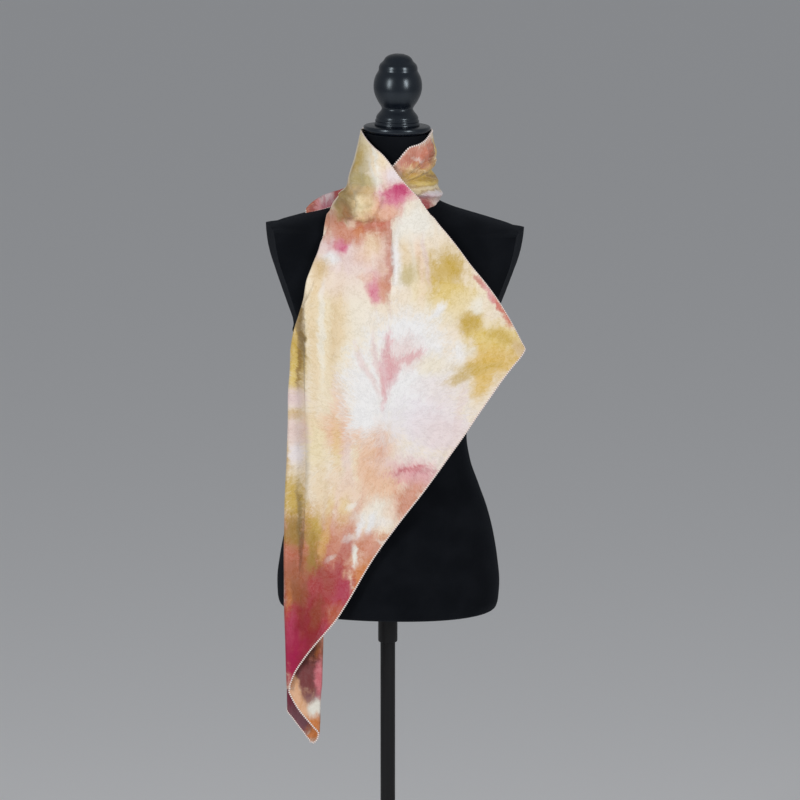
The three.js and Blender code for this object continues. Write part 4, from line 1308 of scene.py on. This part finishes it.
def black_wood():
    wood = Finish("black_wood", "black_wood", (0.007, 0.009, 0.013), 0.27, Specular_IOR_Level=0.62,
                  Specular_Tint=(0.8, 0.92, 1, 1))
    at = wood.place()
    grain = wood.noise(wood.vector("MULTIPLY", at, (1, 1, 0.12)), 260, 4, 0.6)
    wood.colour(wood.mixed(grain, (0.0024, 0.0040, 0.0082), (0.0044, 0.0066, 0.0120)))
    wood.roughness(wood.between(wood.noise(at, 45, 3), 0.3, 0.7, 0.25, 0.3))
    wood.bump(grain, 0.12, 0.0008)
    return wood


def black_steel():
    steel = Finish("black_steel", "black_steel", (0.006, 0.006, 0.007), 0.5, 0.0, Specular_IOR_Level=0.25)
    at = steel.place()
    fleck = steel.noise(at, 1500, 2, 0.6)
    steel.colour(steel.mixed(fleck, (0.0045, 0.0045, 0.0052), (0.0080, 0.0080, 0.0090)))
    steel.roughness(steel.between(steel.noise(at, 30, 3), 0.3, 0.7, 0.4, 0.52))
    steel.bump(fleck, 0.2, 0.0004)
    return steel


def dress(piece, finish, *nodes):
    piece.data.materials.clear()
    piece.data.materials.append(finish.material)
    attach(piece, BODY)
    if nodes:
        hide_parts(*nodes)
    return piece


# Torso
def torso():
    heights = np.concatenate([
        spaced(FORM_FOOT, FOOT_ROUND, 12)[:-1], spaced(FOOT_ROUND, PLATE_FOOT, 62)[:-1],
        spaced(PLATE_FOOT, PLATE_TOP, 30)[:-1], spaced(PLATE_TOP, NECK_FOOT, 30)[:-1],
        spaced(NECK_FOOT, DISC_FOOT - SEAT_GAP, 14),
    ])
    sides = 160
    turn = np.radians(spaced(0, 360, sides + 1)[:-1])
    rows = []
    for z in heights:
        power = 2 / float(form_square(z))
        x = float(form_half(z)) * np.sign(np.cos(turn)) * np.abs(np.cos(turn)) ** power
        reach = np.where(np.sin(turn) > 0, -form_front(z), form_back(z))
        y = reach * np.abs(np.sin(turn)) ** power
        if PLATE_FOOT <= z <= PLATE_TOP + 4:
            limit = float(form_side(z)) + PLATE_TILT * (y - PLATE_BACK)
            x = np.sign(x) * np.minimum(np.abs(x), limit)
        rows.append(np.stack([x, y, np.full(sides, z)], -1))
    rings = np.array(rows)
    places = (rings * MM).reshape(-1, 3)
    count = len(heights)
    faces = grid_faces(count, sides, closed=True)
    faces += [tuple(range(sides))[::-1], tuple((count - 1) * sides + n for n in range(sides))]
    piece = mesh_piece("torso_cover", places, faces)
    select(piece)
    bpy.ops.object.mode_set(mode="EDIT")
    bpy.ops.mesh.select_all(action="SELECT")
    bpy.ops.mesh.normals_make_consistent(inside=False)
    bpy.ops.object.mode_set(mode="OBJECT")
    bpy.ops.object.shade_smooth_by_angle(angle=math.radians(28))
    lean_back(piece)
    return piece


DISC = [(40, DISC_FOOT), (45, 1410.5), (48, 1413.5), (48.6, 1416.5), (48, 1419), (46.4, DISC_TOP)]
FINIAL = [
    (32.6, DISC_TOP + SEAT_GAP), (33, 1423), (31.6, 1425.6), (32, 1427.4), (30.4, 1430.2), (30.6, 1432),
    (28.6, 1436), (25.6, 1439.6), (24.2, 1441.4), (22.6, 1444.6), (24, 1448.2), (27.1, 1452.8),
    (29.8, 1457.5), (32.8, 1464),
    (34.8, 1471.5), (35.1, 1479), (34.2, 1486.4), (32, 1492.9), (29.2, 1498), (28.2, 1500.4),
    (27.9, 1504.6), (26.4, 1508.8), (21.8, 1513.5), (18.8, 1518.1), (14, 1521.6), (7, 1523.8),
]
BASE = [
    (BASE_RADIUS - 2, 0), (BASE_RADIUS - 0.6, 0.6), (BASE_RADIUS, 2), (BASE_RADIUS, BASE_EDGE - 2),
    (BASE_RADIUS - 0.9, BASE_EDGE - 0.7), (BASE_RADIUS - 3, BASE_EDGE), (BASE_RADIUS - 40, BASE_EDGE + 2.2),
    (BASE_RADIUS / 2, BASE_CROWN - 1.5), (SOCKET_RADIUS + 12, BASE_CROWN),
]
SOCKET = [
    (SOCKET_RADIUS, BASE_CROWN + SEAT_GAP), (SOCKET_RADIUS, BASE_CROWN + 9),
    (SOCKET_RADIUS - 0.8, BASE_CROWN + 10), (SOCKET_RADIUS - 5, SOCKET_TOP - 4),
    (SOCKET_RADIUS - 6, SOCKET_TOP - 0.8), (SOCKET_RADIUS - 7, SOCKET_TOP),
]
POLE = [(POLE_RADIUS, SOCKET_TOP + SEAT_GAP), (POLE_RADIUS, COLLAR_FOOT - SEAT_GAP)]
COLLAR = [
    (COLLAR_RADIUS - 1.5, COLLAR_FOOT), (COLLAR_RADIUS - 0.4, COLLAR_FOOT + 0.5),
    (COLLAR_RADIUS, COLLAR_FOOT + 2), (COLLAR_RADIUS, FORM_FOOT - 2 * SEAT_GAP),
]

wood = black_wood()
steel = black_steel()
pile = velvet()
thread = hem_thread()
dress(torso(), pile, "form_torso")
for name, profile, node in [("disc_turned", DISC, "neck_disc"), ("finial_turned", FINIAL, "finial")]:
    piece = turned(name, rounded_profile(profile), sharp=40)
    lean_back(piece)
    dress(piece, wood, node)
dress(turned("base_plate", BASE), steel, "stand_base")
dress(turned("socket_turned", SOCKET), steel, "stand_socket")
dress(turned("pole_tube", POLE, 48), steel, "stand_pole")
dress(turned("collar_turned", COLLAR, 48), steel, "stand_collar")

grid, across, up = hanging_cloth()
panel_silk = dyed_and_shaded_silk("hanging_silk", CREAM, PANEL_POOLS, PANEL_HEART)
cloth = sewn_cloth("scarf_cloth", grid, across, up)
dress(cloth, panel_silk, "scarf_front_panel", "scarf_under_fold", "scarf_tail", "scarf_neck_left")

heights = up[:, 0]
upper = heights >= CORNER - 0.01
lower = heights <= CORNER + 0.01
# Hems: name, edge, radius, how far the stitches draw it in, and the stitches' pitch
hems = [
    ("hem_upper", grid[upper, 0], 0.75, 0.05, 3.2),
    ("hem_lower", grid[lower, 0], 1.05, 0.5, 3.2),
    ("hem_back", grid[heights < NECK_SEAM - 30][:, -1], 0.9, 0.2, 3.0),
    ("hem_foot", grid[-1], 1.1, 0.5, 3.6),
]
wrap_grid, wrap_across, wrap_up = wrap_cloth()
wrap_silk = dyed_and_shaded_silk("neck_silk", CREAM, WRAP_POOLS, NECK_HEART)
wrap = sewn_cloth("scarf_wrap", wrap_grid, wrap_across, wrap_up, inward=True)
dress(wrap, wrap_silk, "scarf_neck_wrap")
hems.append(("hem_neck", wrap_grid[-1], 1.1, 0.6, 3.6))

end_grid, end_across, end_up = free_end()
end_silk = dyed_and_shaded_silk("end_silk", PEACH, END_POOLS, TIP_HEART)
end = sewn_cloth("scarf_tip", end_grid, end_across, end_up)
dress(end, end_silk, "scarf_end")
rim = np.concatenate([end_grid[:, 0], end_grid[-1], end_grid[::-1, -1]])
hems.append(("hem_tip", rim, 0.8, 0.2, 3.0))

sewn = {"scarf_cloth": [], "scarf_wrap": [], "scarf_tip": []}
owner = {"hem_neck": "scarf_wrap", "hem_tip": "scarf_tip"}
for name, path, radius, scallop, pitch in hems:
    hem = dress(rolled_hem(name, path, radius, scallop, pitch), thread)
    sewn[owner.get(name, "scarf_cloth")].append(hem)


# Studio, in metres; the camera looks down a little on the form from the front
WORLD_STRENGTH = 0.3
SOFTBOX_ASIDE = 2.3
CAMERA_PLACE = (0, -5.5, 2.1246)
CAMERA_DOWN = math.radians(11.41)
CAMERA_LENS = 171.99
CAMERA_SHIFT = 0.01525

deselect()
bpy.ops.mesh.primitive_plane_add(size=90, location=(0, 20, 0))
floor = bpy.context.object
floor.name = "studio_floor"
paper = Finish("studio_floor", None, (0.84, 0.84, 0.85), 0.9)
floor.data.materials.append(paper.material)

world = bpy.data.worlds.new("studio")
bpy.context.scene.world = world
world.use_nodes = True
world.node_tree.nodes["Background"].inputs["Color"].default_value = (0.93, 0.96, 1, 1)
world.node_tree.nodes["Background"].inputs["Strength"].default_value = WORLD_STRENGTH


def softbox(name, place, target, size, power):
    light = bpy.data.lights.new(name, "AREA")
    light.shape = "RECTANGLE"
    light.size, light.size_y = size
    light.energy = power
    lamp = bpy.data.objects.new(name, light)
    bpy.context.scene.collection.objects.link(lamp)
    lamp.location = place
    way = np.array(target) - np.array(place)
    tilt = math.acos(-way[2] / np.linalg.norm(way))
    lamp.rotation_euler = (tilt, 0, math.atan2(way[1], way[0]) - math.pi / 2)


for name, side, power in (("softbox_left", -1, 51), ("softbox_right", 1, 49)):
    softbox(name, (side * SOFTBOX_ASIDE, -2.6, 2.3), (0, 0, 1.3), (0.7, 1.8), power)

camera = bpy.data.objects.new("camera", bpy.data.cameras.new("camera"))
bpy.context.scene.collection.objects.link(camera)
camera.location = CAMERA_PLACE
camera.rotation_euler = (math.pi / 2 - CAMERA_DOWN, 0, 0)
camera.data.sensor_width = 36
camera.data.lens = CAMERA_LENS
camera.data.shift_x = CAMERA_SHIFT
bpy.context.scene.camera = camera
bpy.context.scene.view_settings.view_transform = "Standard"
